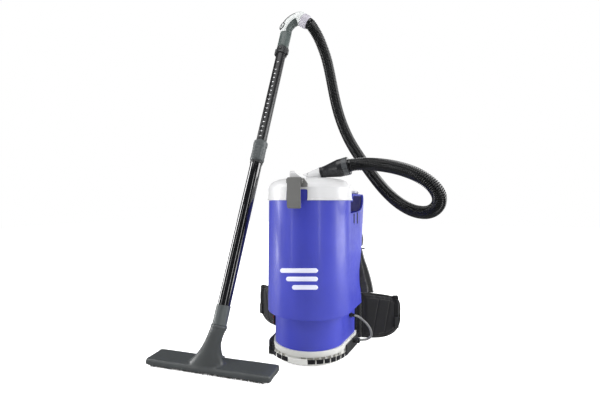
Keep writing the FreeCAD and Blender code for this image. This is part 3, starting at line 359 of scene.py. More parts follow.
# ------------------------------------------------------------------ mesh helpers
def mesh_obj(name, verts, faces, mat, smooth=True, scale=MM):
    me = bpy.data.meshes.new(name)
    me.from_pydata([(v[0] * scale, v[1] * scale, v[2] * scale) for v in verts], [], faces)
    me.validate()
    me.update()
    if smooth:
        me.polygons.foreach_set("use_smooth", [True] * len(me.polygons))
    o = bpy.data.objects.new(name, me)
    bpy.context.scene.collection.objects.link(o)
    for m in (mat if isinstance(mat, (list, tuple)) else [mat]):
        me.materials.append(m)
    return o


def catmull(pts, n=12):
    P = np.array(pts, float)
    d = np.linalg.norm(np.diff(P, axis=0), axis=1) ** 0.5
    t = np.concatenate([[0], np.cumsum(d)])
    out = []
    m = np.zeros_like(P)
    m[1:-1] = (P[2:] - P[:-2]) / (t[2:] - t[:-2])[:, None]
    h = np.diff(t)
    for i in range(1, len(P) - 1):
        a = (P[i] - P[i - 1]) / h[i - 1]
        b = (P[i + 1] - P[i]) / h[i]
        m[i] = (a * h[i] + b * h[i - 1]) / (h[i] + h[i - 1])
    m[0] = (P[1] - P[0]) / h[0]
    m[-1] = (P[-1] - P[-2]) / h[-1]
    for i in range(len(P) - 1):
        for k in range(n):
            s = k / n
            h00 = 2 * s ** 3 - 3 * s ** 2 + 1
            h10 = s ** 3 - 2 * s ** 2 + s
            h01 = -2 * s ** 3 + 3 * s ** 2
            h11 = s ** 3 - s ** 2
            out.append(h00 * P[i] + h10 * h[i] * m[i] + h01 * P[i + 1] + h11 * h[i] * m[i + 1])
    out.append(P[-1])
    return np.array(out)


def resample(C, step):
    d = np.linalg.norm(np.diff(C, axis=0), axis=1)
    s = np.concatenate([[0], np.cumsum(d)])
    n = max(2, int(round(s[-1] / step)) + 1)
    u = np.linspace(0, s[-1], n)
    return np.stack([np.interp(u, s, C[:, k]) for k in range(3)], 1), u


def frames(C, up=(0, 0, 1)):
    T = np.gradient(C, axis=0)
    T /= np.linalg.norm(T, axis=1)[:, None]
    N = np.zeros_like(C)
    n = np.array(up, float)
    n = n - T[0] * (n @ T[0])
    if np.linalg.norm(n) < 1e-3:
        n = np.array((1.0, 0, 0)) - T[0] * T[0][0]
    n /= np.linalg.norm(n)
    for i in range(len(C)):
        n = n - T[i] * (n @ T[i])
        n /= np.linalg.norm(n)
        N[i] = n
    B = np.cross(T, N)
    return T, N, B


def tube_mesh(name, C, R, mat, seg=40, cap=False, up=(0, 0, 1), inner=None, fr_=None):
    T, N, B = fr_ if fr_ is not None else frames(C, up)
    R = np.broadcast_to(np.array(R, float), (len(C),))
    a = np.linspace(0, 2 * math.pi, seg, endpoint=False)
    ring = lambda i, r: C[i] + r * (np.cos(a)[:, None] * N[i] + np.sin(a)[:, None] * B[i])
    verts = np.concatenate([ring(i, R[i]) for i in range(len(C))])
    faces = []
    for i in range(len(C) - 1):
        for k in range(seg):
            k2 = (k + 1) % seg
            faces.append((i * seg + k, i * seg + k2, (i + 1) * seg + k2, (i + 1) * seg + k))
    if cap:
        n0 = len(verts)
        verts = np.concatenate([verts, [C[0], C[-1]]])
        for k in range(seg):
            k2 = (k + 1) % seg
            faces.append((k2, k, n0))
            faces.append(((len(C) - 1) * seg + k, (len(C) - 1) * seg + k2, n0 + 1))
    return mesh_obj(name, verts.tolist(), faces, mat)


# ------------------------------------------------------------------ hose
def unit(v):
    v = np.array(v, float)
    return v / np.linalg.norm(v)


NECK = np.array((34.6, 0, 539.0))
NA = np.array((math.cos(math.radians(12.5)), 0, math.sin(math.radians(12.5))))
S0 = np.array((-70.5, 122.9, 1072.2))
S1 = np.array((-47.5, 126.5, 1056.8))
SW = unit(S1 - S0)
WB = np.array((-172.75, -187.3, 215.12))
WU = unit((0.05625, 0.34517, 0.93685))


def w(t):
    return WB + WU * t


HOSE = [NECK + NA * 88.3, NECK + NA * 95.0, (141.0, 0.6, 561.2),
        (161.5, 2.5, 561.5), (187.0, -4.2, 559.4), (214.1, -12.5, 555.5), (240.1, -22.1, 550.0), (264.4, -31.4, 543.0), (288.3, -40.8, 534.1), (310.5, -48.7, 523.6),
        (333.4, -51.0, 509.0), (353.4, -47.9, 489.5), (362.9, -39.2, 471.9), (365.0, -28.8, 459.0), (362.8, -14.7, 446.1), (353.7, 2.2, 433.5), (340.1, 20.6, 425.2),
        (323.4, 41.2, 422.4), (301.2, 65.0, 424.9), (280.8, 84.2, 432.1), (254.0, 109.5, 446.4), (226.5, 135.7, 467.2), (198.3, 155.3, 494.2), (161.3, 176.9, 538.1),
        (105.8, 202.5, 614.2), (73.5, 209.9, 667.4), (48.2, 211.3, 725.4), (30.7, 209.2, 782.6), (19.1, 205.0, 839.1), (10.4, 196.5, 893.9), (1.1, 184.6, 947.0),
        (-7.9, 172.8, 979.4), (-21.0, 152.0, 1018.8), (-33.1, 139.1, 1040.1),
        S1 + SW * 9.0, S1 - SW * 0.4]
HC = catmull(HOSE, 14)
# light smoothing of the centreline
for _ in range(60):
    HC[1:-1] = HC[1:-1] * 0.5 + (HC[:-2] + HC[2:]) * 0.25
PITCH = 5.2
prof = [(0.0, 15.9), (0.10, 16.2), (0.22, 17.9), (0.34, 18.55), (0.55, 18.65), (0.72, 18.3), (0.86, 16.6)]
dl = np.linalg.norm(np.diff(HC, axis=0), axis=1)
sl = np.concatenate([[0], np.cumsum(dl)])
LTOT = sl[-1]
nrib = int((LTOT - 16) / PITCH)
ss, rr = [0.0, 4.0, 7.6], [18.3, 18.3, 18.3]
for k in range(nrib):
    for f, r in prof:
        ss.append(8.0 + (k + f) * (LTOT - 16) / nrib)
        rr.append(r)
ss += [LTOT - 7.6, LTOT - 4, LTOT]
rr += [18.3, 18.3, 18.3]
ss, rr = np.array(ss), np.array(rr)
CC = np.stack([np.interp(ss, sl, HC[:, k]) for k in range(3)], 1)
FT, FN, FB = frames(HC)
Tn = np.stack([np.interp(ss, sl, FT[:, k]) for k in range(3)], 1)
Tn /= np.linalg.norm(Tn, axis=1)[:, None]
Nn = np.stack([np.interp(ss, sl, FN[:, k]) for k in range(3)], 1)
Nn = Nn - Tn * (Nn * Tn).sum(1)[:, None]
Nn /= np.linalg.norm(Nn, axis=1)[:, None]
Bn = np.cross(Tn, Nn)


def nearest(p):
    return int(np.argmin(np.linalg.norm(CC - np.array(p), axis=1)))


iA, iB = nearest((340.1, 20.6, 425.2)), nearest((161.3, 176.9, 538.1))
SEGH = 36
hose = []
for nm, a, b in (("hose_inlet_run", 0, iA), ("hose_loop_run", iA, iB), ("hose_rising_run", iB, len(CC) - 1)):
    o = tube_mesh(nm, CC[a:b + 1], rr[a:b + 1], M["hose"], SEGH, False, fr_=(Tn[a:b + 1], Nn[a:b + 1], Bn[a:b + 1]))
    hose.append(o)
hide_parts("suction_hose")
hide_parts("suction_hose")
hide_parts("suction_hose")
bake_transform(hose[0])
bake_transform(hose[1])
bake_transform(hose[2])


# ------------------------------------------------------------------ padded fabric pieces
def np_verts(me):
    co = np.zeros(len(me.vertices) * 3)
    me.vertices.foreach_get("co", co)
    return co.reshape(-1, 3)


def np_norms(me):
    co = np.zeros(len(me.vertices) * 3)
    me.vertices.foreach_get("normal", co)
    return co.reshape(-1, 3)


def set_verts(me, co):
    me.vertices.foreach_set("co", co.ravel())
    me.update()


def apply_mods(o):
    dg = bpy.context.evaluated_depsgraph_get()
    me = bpy.data.meshes.new_from_object(o.evaluated_get(dg))
    o.modifiers.clear()
    old = o.data
    o.data = me
    return me


def remesh(o, voxel, smooth=0):
    m = o.modifiers.new("r", "REMESH")
    m.mode = "VOXEL"
    m.voxel_size = voxel
    m.use_smooth_shade = True
    if smooth:
        k = o.modifiers.new("s", "SMOOTH")
        k.factor = 0.5
        k.iterations = smooth
    return apply_mods(o)


def puff(o, cap, pin=None, frames=20, pressure=4.0):
    # inflates the closed skin with cloth pressure, never past cap
    me = o.data
    rest = np_verts(me).copy()
    if pin is not None:
        g = o.vertex_groups.new(name="pin")
        for i in np.nonzero(pin > 0.02)[0]:
            g.add([int(i)], float(pin[i]), "REPLACE")
    c = o.modifiers.new("cloth", "CLOTH")
    c.settings.quality = 4
    c.settings.use_pressure = True
    c.settings.uniform_pressure_force = pressure
    c.settings.effector_weights.gravity = 0.0
    c.settings.tension_stiffness = 8
    c.settings.compression_stiffness = 8
    c.settings.bending_stiffness = 1.0
    if pin is not None:
        c.settings.vertex_group_mass = "pin"
    c.point_cache.frame_start = 1
    c.point_cache.frame_end = frames
    scn = bpy.context.scene
    for f in range(1, frames + 1):
        scn.frame_set(f)
    dg = bpy.context.evaluated_depsgraph_get()
    out = np_verts(o.evaluated_get(dg).to_mesh()).copy()
    o.evaluated_get(dg).to_mesh_clear()
    o.modifiers.clear()
    d = out - rest
    L = np.linalg.norm(d, axis=1)
    L[~np.isfinite(L)] = 0
    d[~np.isfinite(d)] = 0
    k = np.minimum(1.0, cap / np.maximum(L, 1e-9))
    set_verts(me, rest + d * k[:, None])
    scn.frame_set(1)


def subdiv(o, lv=1):
    m = o.modifiers.new("sub", "SUBSURF")
    m.levels = lv
    m.render_levels = lv
    apply_mods(o)
    o.data.polygons.foreach_set("use_smooth", [True] * len(o.data.polygons))


def from_cad(name, node, mat, shrink=0.0):
    o = bpy.data.objects.new(name, NODES[node].data.copy())
    bpy.context.scene.collection.objects.link(o)
    o.data.materials.clear()
    o.data.materials.append(mat)
    return o


def strap(name, C, W, width, thick, mat, edge=0.35, up=None):
    # flat webbing along C (mm) with width direction W per point, softly rounded edges
    C = np.array(C, float)
    W = np.array(W, float)
    if W.ndim == 1:
        W = np.tile(W, (len(C), 1))
    T = np.gradient(C, axis=0)
    T /= np.linalg.norm(T, axis=1)[:, None]
    W = W - T * (W * T).sum(1)[:, None]
    W /= np.linalg.norm(W, axis=1)[:, None]
    Nn_ = np.cross(T, W)
    width = np.broadcast_to(np.array(width, float), (len(C),))
    prof_ = []
    n = 10
    for k_ in range(n + 1):
        x = -1 + 2 * k_ / n
        prof_.append((x, 0.5 * (1 - edge * abs(x) ** 6)))
    ring = [(x, y) for x, y in prof_] + [(x, -y) for x, y in prof_[::-1]]
    m_ = len(ring)
    verts, faces = [], []
    for i in range(len(C)):
        for x, y in ring:
            verts.append(C[i] + W[i] * x * width[i] / 2 + Nn_[i] * y * thick)
    for i in range(len(C) - 1):
        for k_ in range(m_):
            k2 = (k_ + 1) % m_
            faces.append((i * m_ + k_, i * m_ + k2, (i + 1) * m_ + k2, (i + 1) * m_ + k_))
    faces.append(tuple(range(m_))[::-1])
    faces.append(tuple((len(C) - 1) * m_ + q for q in range(m_)))
    return mesh_obj(name, [tuple(v) for v in verts], faces, mat)


def stitches(name, C, N_, mat, pitch=3.4, length=2.2, r=0.38):
    # row of short thread stitches along C (mm), lying on the surface with normal N_
    C, u_ = resample(np.array(C, float), pitch)
    verts, faces = [], []
    T = np.gradient(C, axis=0)
    T /= np.linalg.norm(T, axis=1)[:, None]
    N_ = np.array(N_, float)
    for i in range(len(C)):
        n_ = N_ - T[i] * (N_ @ T[i])
        n_ /= np.linalg.norm(n_)
        b_ = np.cross(T[i], n_)
        base = len(verts)
        for f, rr_ in ((-0.5, 0.35), (-0.3, 0.9), (0.0, 1.1), (0.3, 0.9), (0.5, 0.35)):
            for q in range(6):
                a_ = q * math.pi / 3
                verts.append(tuple(C[i] + T[i] * f * length + (n_ * math.cos(a_) + b_ * math.sin(a_)) * r * rr_))
        for j in range(4):
            for q in range(6):
                q2 = (q + 1) % 6
                faces.append((base + j * 6 + q, base + j * 6 + q2, base + (j + 1) * 6 + q2, base + (j + 1) * 6 + q))
        faces.append(tuple(base + q for q in range(6))[::-1])
        faces.append(tuple(base + 24 + q for q in range(6)))
    return mesh_obj(name, verts, faces, mat)


# ---- back pad: moulded foam under air mesh, sewn channels, corded edge
BACKY = [(20, 112), (133, 112), (150, 109), (170, 100), (192, 89), (215, 83), (240, 83), (262, 90), (290, 104), (322, 118), (350, 125), (380, 131), (420, 141), (450, 149)]
bz, by_ = np.array([a for a, b in BACKY]), np.array([b for a, b in BACKY])
pad = from_cad("back_pad_cushion", "back_pad", M["mesh"])
remesh(pad, 0.0048, 2)
nn = np_norms(pad.data)
co0 = np_verts(pad.data)
plate = np.interp(co0[:, 2] * 1000, bz, by_) + 10.5
front = np.clip((co0[:, 1] * 1000 - plate - 4.0) / 6.0, 0, 1)
puff(pad, 0.0045, 1.0 - front, 18, 3.5)
subdiv(pad, 1)
co1 = np_verts(pad.data)
n1 = np_norms(pad.data)
x, z = co1[:, 0] * 1000, co1[:, 2] * 1000
outer_side = np.clip((n1[:, 1] - 0.15) / 0.5, 0, 1)
g = np.zeros(len(x))
for xx in (-34.0, 34.0):
    g = np.maximum(g, np.exp(-((x - xx) / 3.0) ** 2) * (z > 60) * (z < 425))
for zz, w_ in ((96, 95), (150, 100), (205, 118), (262, 112), (318, 95), (370, 80)):
    g = np.maximum(g, np.exp(-((z - zz - 0.0012 * x * x) / 3.0) ** 2) * (np.abs(x) < w_))
co1 -= n1 * (g * outer_side * 0.0036)[:, None]
set_verts(pad.data, co1)
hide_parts("back_pad")
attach(pad, "canister")
# corded edge round the pad
edge_pts = []
src = np_verts(pad.data) * 1000
zs = np.arange(46, 434, 6.0)
right = []
for zz in zs:
    sel = src[np.abs(src[:, 2] - zz) < 4.0]
    if len(sel) == 0:
        continue
    k_ = sel[np.argsort(-sel[:, 0])[:12]]
    right.append((k_[:, 0].mean() - (1.6 if zz < 160 else 0.3), np.median(k_[:, 1]) + 4.5, zz))
right = np.array(right)
for _ in range(2):
    right[1:-1] = right[1:-1] * 0.5 + (right[:-2] + right[2:]) * 0.25
top = [(right[-1][0] * f, right[-1][1] + 0.6, 436.5) for f in (0.85, 0.5, 0, -0.5, -0.85)]
bot = [(right[0][0] * f, right[0][1], 41.5) for f in (-0.85, -0.5, 0, 0.5, 0.85)]
loop = [tuple(q) for q in right] + top + [(-q[0], q[1], q[2]) for q in right[::-1]] + bot
loop = np.array(loop + [loop[0]])
lc, _u = resample(loop, 3.0)
cord = tube_mesh("back_pad_piping", lc, 1.6, M["piping"], 10)
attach(cord, "canister")

# ---- hip wings
for sx, nm, body, ang in ((1, "right", "hip_right", 27.0), (-1, "left", "hip_left", None)):
    node = "belt_wing_" + nm
    o = from_cad("hip_pad_" + nm, node, M["cloth"])
    remesh(o, 0.0036, 2)
    v = np_verts(o.data) * 1000
    # local axes of the wing from its own shape
    hx, hy = sx * 121.0, 131.0
    far = v[np.argmax((v[:, 0] * sx))]
    sel = v[(v[:, 0] * sx) > 200]
    dxy = sel[:, :2].mean(0) - np.array((hx, hy))
    ex = dxy / np.linalg.norm(dxy)
    ey = np.array((-ex[1], ex[0])) * sx
    s_ = (v[:, :2] - np.array((hx, hy))) @ ex
    t_ = (v[:, :2] - np.array((hx, hy))) @ ey
    pin = np.clip(1.0 - (s_ - 10) / 12.0, 0, 1)
    puff(o, 0.0030, pin, 16, 3.5)
    subdiv(o, 1)
    v = np_verts(o.data)
    n_ = np_norms(o.data)
    s_ = (v[:, :2] * 1000 - np.array((hx, hy))) @ ex
    z = v[:, 2] * 1000
    flat = np.clip((np.abs(n_[:, :2] @ ey) - 0.3) / 0.4, 0, 1)
    poly = [(18, 26), (60, 22), (95, 26), (116, 38), (129, 56), (131, 88), (129, 114), (121, 124), (104, 132), (50, 142), (18, 145)]
    P_ = np.array(poly + [poly[0]], float)
    d = np.full(len(s_), 1e9)
    for a_, b_ in zip(P_[:-1], P_[1:]):
        ab = b_ - a_
        q = np.stack([s_, z], 1) - a_
        h = np.clip((q @ ab) / (ab @ ab), 0, 1)
        d = np.minimum(d, np.linalg.norm(q - h[:, None] * ab, axis=1))
    g = np.exp(-(d / 1.8) ** 2)
    # two diagonal sewn channels
    for c0, c1 in ((46, 70), (84, 108)):
        ln = np.abs((s_ - (c0 + (z - 20) * (c1 - c0) / 130)))
        g = np.maximum(g, np.exp(-(ln / 2.0) ** 2) * (z > 28) * (z < 136) * 0.8)
    v -= n_ * (g * flat * 0.0018)[:, None]
    set_verts(o.data, v)
    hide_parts(node)
    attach(o, body)
    # binding tape round the edge
    A = [(10, 16), (60, 12.5), (97, 16.5), (122, 30), (136.5, 53), (139.2, 88), (137.5, 120), (129.5, 132.5), (107, 141.5), (50, 151.5), (10, 155.5)]
    c3 = np.array([(hx + ex[0] * a_, hy + ex[1] * a_, b_) for a_, b_ in A])
    cc = catmull(c3, 8)
    tp = tube_mesh("hip_binding_" + nm, cc, 3.4, M["piping"], 14, True, up=(ey[0], ey[1], 0))
    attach(tp, body)
    # soft sleeve over the hinge rod
    hz2 = np.linspace(16, 146, 40)
    hs = tube_mesh("hip_hinge_sleeve_" + nm, np.stack([np.full(40, hx + sx * 1.0), np.full(40, hy), hz2], 1), 9.6 + 0.5 * np.sin(hz2 * 0.55) * (np.abs(hz2 - 81) < 58), M["cloth"], 28, True, up=(1, 0, 0))
    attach(hs, "canister")
    # webbing loop over the pad
    e3, n3 = np.array((ex[0], ex[1], 0.0)), np.array((ey[0], ey[1], 0.0))
    o3 = np.array((hx, hy, 0.0))
    wo = 8.2
    path = []
    for zz in np.linspace(40, 139, 20):
        path.append(o3 + e3 * 125 - n3 * (wo + 0.8 * math.sin((zz - 40) / 99 * math.pi)) + np.array((0, 0, zz)))
    for a_ in np.linspace(0.2, math.pi - 0.2, 9):
        path.append(o3 + e3 * 125 - n3 * wo * math.cos(a_) + np.array((0, 0, 139 + 5.0 * math.sin(a_))))
    for zz in np.linspace(139, 40, 20):
        path.append(o3 + e3 * 125 + n3 * (wo + 0.8 * math.sin((zz - 40) / 99 * math.pi)) + np.array((0, 0, zz)))
    wb = strap("hip_webbing_" + nm, path, e3, 14.5, 1.7, M["webb"])
    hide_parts("belt_webbing_" + nm)
    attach(wb, body)
    st1 = [o3 + e3 * q + (-n3) * (wo + 1.1) + np.array((0, 0, zz)) for q, zz in ((119.5, 116), (130.5, 116), (130.5, 134), (119.5, 134), (119.5, 116))]
    k_ = stitches("hip_stitch_" + nm, st1, -n3, M["thread"], 2.4, 1.6, 0.3)
    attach(k_, body)

# ---- shoulder straps: crowned padded length with a grey bound edge
for sx, nm in ((1, "right"), (-1, "left")):
    C = catmull([(sx * 65, 174, 425), (sx * 74, 188, 410), (sx * 90, 195, 372), (sx * 101, 190, 330), (sx * 109, 182, 300)], 10)
    T = np.gradient(C, axis=0)
    T /= np.linalg.norm(T, axis=1)[:, None]
    W_ = np.array((1.0, 0, 0)) - T * T[:, :1]
    W_ /= np.linalg.norm(W_, axis=1)[:, None]
    N_ = np.cross(T, W_)
    n = 24
    verts, faces = [], []
    for i in range(len(C)):
        f = i / (len(C) - 1)
        hw = 23.5 * (1 - 0.35 * max(0, (f - 0.75) / 0.25) ** 2) * (1 - 0.15 * max(0, (0.1 - f) / 0.1))
        for q in range(n):
            a_ = 2 * math.pi * q / n
            ca, sa = math.cos(a_), math.sin(a_)
            xx = math.copysign(abs(ca) ** 0.6, ca) * hw
            yy = math.copysign(abs(sa) ** 0.75, sa) * 4.8
            gch = math.exp(-((abs(xx) - 14.0) / 2.2) ** 2) * 0.22
            verts.append(tuple(C[i] + W_[i] * xx + N_[i] * yy * (1 - gch)))
    for i in range(len(C) - 1):
        for q in range(n):
            q2 = (q + 1) % n
            faces.append((i * n + q, i * n + q2, (i + 1) * n + q2, (i + 1) * n + q))
    faces.append(tuple(range(n))[::-1])
    faces.append(tuple((len(C) - 1) * n + q for q in range(n)))
    o = mesh_obj("shoulder_pad_" + nm, verts, faces, M["mesh"])
    puff(o, 0.0012, None, 10, 2.0)
    subdiv(o, 1)
    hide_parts("shoulder_straps")
    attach(o, "canister")
    for e_, en in ((1, "outer"), (-1, "inner")):
        hw = np.array([23.5 * (1 - 0.35 * max(0, (i / (len(C) - 1) - 0.75) / 0.25) ** 2) for i in range(len(C))])
        ec = C + W_ * (hw * e_)[:, None]
        b_ = tube_mesh("shoulder_binding_%s_%s" % (nm, en), ec, 1.8, M["pipeg"], 10, True)
        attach(b_, "canister")
    # webbing from the pad down to the hip
    lowp = catmull([(sx * 113, 180.5, 302), (sx * 119, 180.0, 290), (sx * 128, 172, 262), (sx * 141, 167, 222), (sx * 151.5, 161, 180), (sx * 156, 154.5, 155)], 8)
    wdir = np.array((sx * 0.5, 0.86, 0))
    wlow = np.interp(lowp[:, 2], [157, 200, 262, 302], [31.0, 25.0, 15.0, 13.0])
    wbb = strap("shoulder_webbing_" + nm, lowp, wdir, wlow, 2.2, M["webb"])
    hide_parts("strap_webbing")
    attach(wbb, "canister")
    e2 = lowp + unit(wdir) * (wlow / 2 - 0.6)[:, None] + np.array((0.68 * sx, -1.9, 0.0))
    gb = tube_mesh("shoulder_webbing_edge_" + nm, e2, 2.3, M["pipel"], 10, True)
    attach(gb, "canister")

# ---- filter bag: lofted felt bag with soft vertical folds and a card collar
verts, faces = [], []
RZ = [(172, 30), (172.5, 60), (175, 72), (184, 84), (205, 89), (250, 91), (300, 92), (350, 92), (400, 91), (425, 88), (437, 83), (442, 74), (443, 50), (443, 27)]
n = 96
for i, (z_, r_) in enumerate(RZ):
    for q in range(n):
        a_ = 2 * math.pi * q / n
        amp = 2.2 if 180 < z_ < 440 else 0.4
        rr_ = r_ - amp * (0.5 + 0.5 * math.cos(12 * a_ + 0.6 * math.sin(z_ * 0.02))) - amp * 0.4 * math.sin(5 * a_ + z_ * 0.03)
        verts.append((rr_ * math.cos(a_), -20 + rr_ * math.sin(a_), z_))
for i in range(len(RZ) - 1):
    for q in range(n):
        q2 = (q + 1) % n
        faces.append((i * n + q, i * n + q2, (i + 1) * n + q2, (i + 1) * n + q))
faces.append(tuple(range(n))[::-1])
faces.append(tuple((len(RZ) - 1) * n + q for q in range(n)))
bag = mesh_obj("filter_bag_felt", verts, faces, M["felt"])
subdiv(bag, 1)
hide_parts("filter_bag")
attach(bag, "canister")


# ------------------------------------------------------------------ floor head and neck, one flowing moulding
HA = math.radians(3.2)
HXv = np.array((math.cos(HA), math.sin(HA), 0))
HYv = np.array((-math.sin(HA), math.cos(HA), 0))
HC0 = np.array((-214.2, -201.5, 0.0))


def hpt(x, y, z):
    return HC0 + HXv * x + HYv * y + np.array((0, 0, z))


def sup(a, n_):
    return math.copysign(abs(math.cos(a)) ** (2 / n_), math.cos(a)), math.copysign(abs(math.sin(a)) ** (2 / n_), math.sin(a))


prof_h = [(-37.0, 6.0), (-37.5, 8.0), (-37.2, 17.0), (-35.0, 20.5), (-31.0, 21.8), (-10.0, 21.6), (15.0, 22.4), (29.0, 23.4), (34.0, 22.4), (36.8, 18.5), (37.2, 8.0), (36.8, 6.0)]
xs = [(-183.6, 0.93), (-182.0, 0.97), (-178.0, 1.0), (-120, 1.0), (-60, 1.0), (0, 1.0), (60, 1.0), (120, 1.0), (178.0, 1.0), (182.0, 0.97), (183.6, 0.93)]
verts, faces = [], []
for x_, k_ in xs:
    for y_, z_ in prof_h:
        verts.append(tuple(hpt(x_, y_ * k_, 6 + (z_ - 6) * (k_ * 1.02 if k_ < 1 else 1))))
m_ = len(prof_h)
for i in range(len(xs) - 1):
    for q in range(m_):
        q2 = (q + 1) % m_
        faces.append((i * m_ + q2, i * m_ + q, (i + 1) * m_ + q, (i + 1) * m_ + q2))
faces.append(tuple(range(m_)))
faces.append(tuple((len(xs) - 1) * m_ + q for q in range(m_))[::-1])
base_n = len(verts)
NECKP = [((-177.5, -216.5, 130.0), 20.6, 20.6, 2.0), ((-178.6, -219.6, 124.0), 21.0, 21.0, 2.0), ((-183.0, -221.0, 114.0), 20.4, 20.4, 2.0), ((-190.5, -220.5, 98.0), 21.2, 20.6, 2.0), ((-200.5, -218.5, 76.0), 24.6, 21.8, 2.0),
         ((-208.0, -215.0, 58.0), 31.0, 23.4, 2.0), ((-214.0, -212.0, 42.0), 38.5, 25.4, 2.1), ((-219.0, -209.5, 31.0), 46.5, 27.4, 2.2), ((-222.0, -208.0, 21.0), 54.0, 29.0, 2.3), ((-223.0, -207.0, 10.0), 58.0, 29.6, 2.4)]
ctr = np.array([a for a, *_ in NECKP])
nt_ = np.gradient(ctr, axis=0)
nt_ /= np.linalg.norm(nt_, axis=1)[:, None]
nt_[0] = -WU
n = 40
for i, (c_, a0, b0, ex_) in enumerate(NECKP):
    f = min(1.0, i / 4)
    t_ = nt_[i] * (1 - f) + np.array((0, 0, -1.0)) * f
    t_ /= np.linalg.norm(t_)
    ux = HXv - t_ * (HXv @ t_)
    ux /= np.linalg.norm(ux)
    uy = np.cross(ux, t_)
    for q in range(n):
        ca, sa = sup(2 * math.pi * q / n, ex_)
        verts.append(tuple(ctr[i] + ux * ca * a0 + uy * sa * b0))
for i in range(len(NECKP) - 1):
    for q in range(n):
        q2 = (q + 1) % n
        faces.append((base_n + i * n + q, base_n + i * n + q2, base_n + (i + 1) * n + q2, base_n + (i + 1) * n + q))
faces.append(tuple(base_n + q for q in range(n))[::-1])
faces.append(tuple(base_n + (len(NECKP) - 1) * n + q for q in range(n)))
head = mesh_obj("floor_head_moulding", verts, faces, M["head"])
bm = bmesh.new()
bm.from_mesh(head.data)
# make both shells face outward
bmesh.ops.recalc_face_normals(bm, faces=bm.faces)
bm.to_mesh(head.data)
bm.free()
remesh(head, 0.0019, 0)
v = np_verts(head.data)
hv = (v * 1000 - HC0)
hx_, hy_, hz_ = hv @ HXv, hv @ HYv, v[:, 2] * 1000
# smooth only where the neck flows into the head
for _ in range(1):
    vg = head.vertex_groups.new(name="flow")
    rad = np.sqrt(((hx_ - 2) / 95) ** 2 + ((hy_) / 60) ** 2)
    wgt = np.clip((1.35 - rad) / 0.5, 0, 1) * np.clip((hz_ - 12) / 6, 0, 1) * np.clip((118 - hz_) / 20, 0.05, 1)
    for i in np.nonzero(wgt > 0.02)[0]:
        vg.add([int(i)], float(wgt[i]), "REPLACE")
    sm = head.modifiers.new("flow", "SMOOTH")
    sm.factor = 0.6
    sm.iterations = 26
    sm.vertex_group = "flow"
    s2 = head.modifiers.new("all", "SMOOTH")
    s2.factor = 0.5
    s2.iterations = 3
    apply_mods(head)
head.data.polygons.foreach_set("use_smooth", [True] * len(head.data.polygons))
head.data.materials.clear()
head.data.materials.append(M["head"])
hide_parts("head_shell", "neck_elbow")
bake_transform(head)

# rim where the sleeve enters the neck, with a shadow line under the sleeve edge
o_rim = None


def turned_ring(name, base, axis, prof_, mat, n=64):
    axis = unit(axis)
    a1 = unit(np.cross(axis, (1.0, 0, 0)))
    a2 = np.cross(axis, a1)
    vv, ff = [], []
    for t_, r_ in prof_:
        for q in range(n):
            a_ = 2 * math.pi * q / n
            vv.append(tuple(np.array(base) + axis * t_ + (a1 * math.cos(a_) + a2 * math.sin(a_)) * r_))
    m2 = len(prof_)
    for i in range(m2):
        i2 = (i + 1) % m2
        for q in range(n):
            q2 = (q + 1) % n
            ff.append((i * n + q, i * n + q2, i2 * n + q2, i2 * n + q))
    o_ = mesh_obj(name, vv, ff, mat)
    b2 = bmesh.new()
    b2.from_mesh(o_.data)
    bmesh.ops.recalc_face_normals(b2, faces=b2.faces)
    b2.to_mesh(o_.data)
    b2.free()
    return o_


o_rim = turned_ring("neck_rim", w(-99.0), WU, [(0.0, 18.0), (0.0, 20.6), (1.0, 21.2), (3.0, 21.5), (6.2, 21.4), (7.4, 20.9), (7.9, 20.2), (7.9, 18.0)], M["head"])
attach(o_rim, "neck")
o_rim = turned_ring("neck_rim_gap", w(-91.1), WU, [(0.0, 18.4), (0.0, 19.7), (0.9, 19.7), (0.9, 18.4)], M["rubber"])
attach(o_rim, "neck")

# bristle rows
bl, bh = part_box("brush_strips")
verts, faces = [], []
for row in (-33.0, -30.5, 30.5, 33.0):
    for i in range(150):
        x_ = -168 + 336 * (i + 0.5 * random.random()) / 150
        y_ = row + random.uniform(-0.8, 0.8)
        top_ = hpt(x_, y_, 5.2)
        bot_ = hpt(x_ + random.uniform(-1.2, 1.2), y_ + random.uniform(-1.0, 1.0), random.uniform(0.1, 1.0))
        b0 = len(verts)
        for q in range(4):
            a_ = q * math.pi / 2 + 0.3
            verts.append(tuple(top_ + np.array((math.cos(a_), math.sin(a_), 0)) * 1.0))
        for q in range(4):
            a_ = q * math.pi / 2 + 0.3
            verts.append(tuple(bot_ + np.array((math.cos(a_), math.sin(a_), 0)) * 0.55))
        for q in range(4):
            q2 = (q + 1) % 4
            faces.append((b0 + q2, b0 + q, b0 + 4 + q, b0 + 4 + q2))
        faces.append((b0, b0 + 1, b0 + 2, b0 + 3))
        faces.append((b0 + 7, b0 + 6, b0 + 5, b0 + 4))
br = mesh_obj("bristle_rows", verts, faces, M["bristle"], False)
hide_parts("brush_strips")
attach(br, "head")


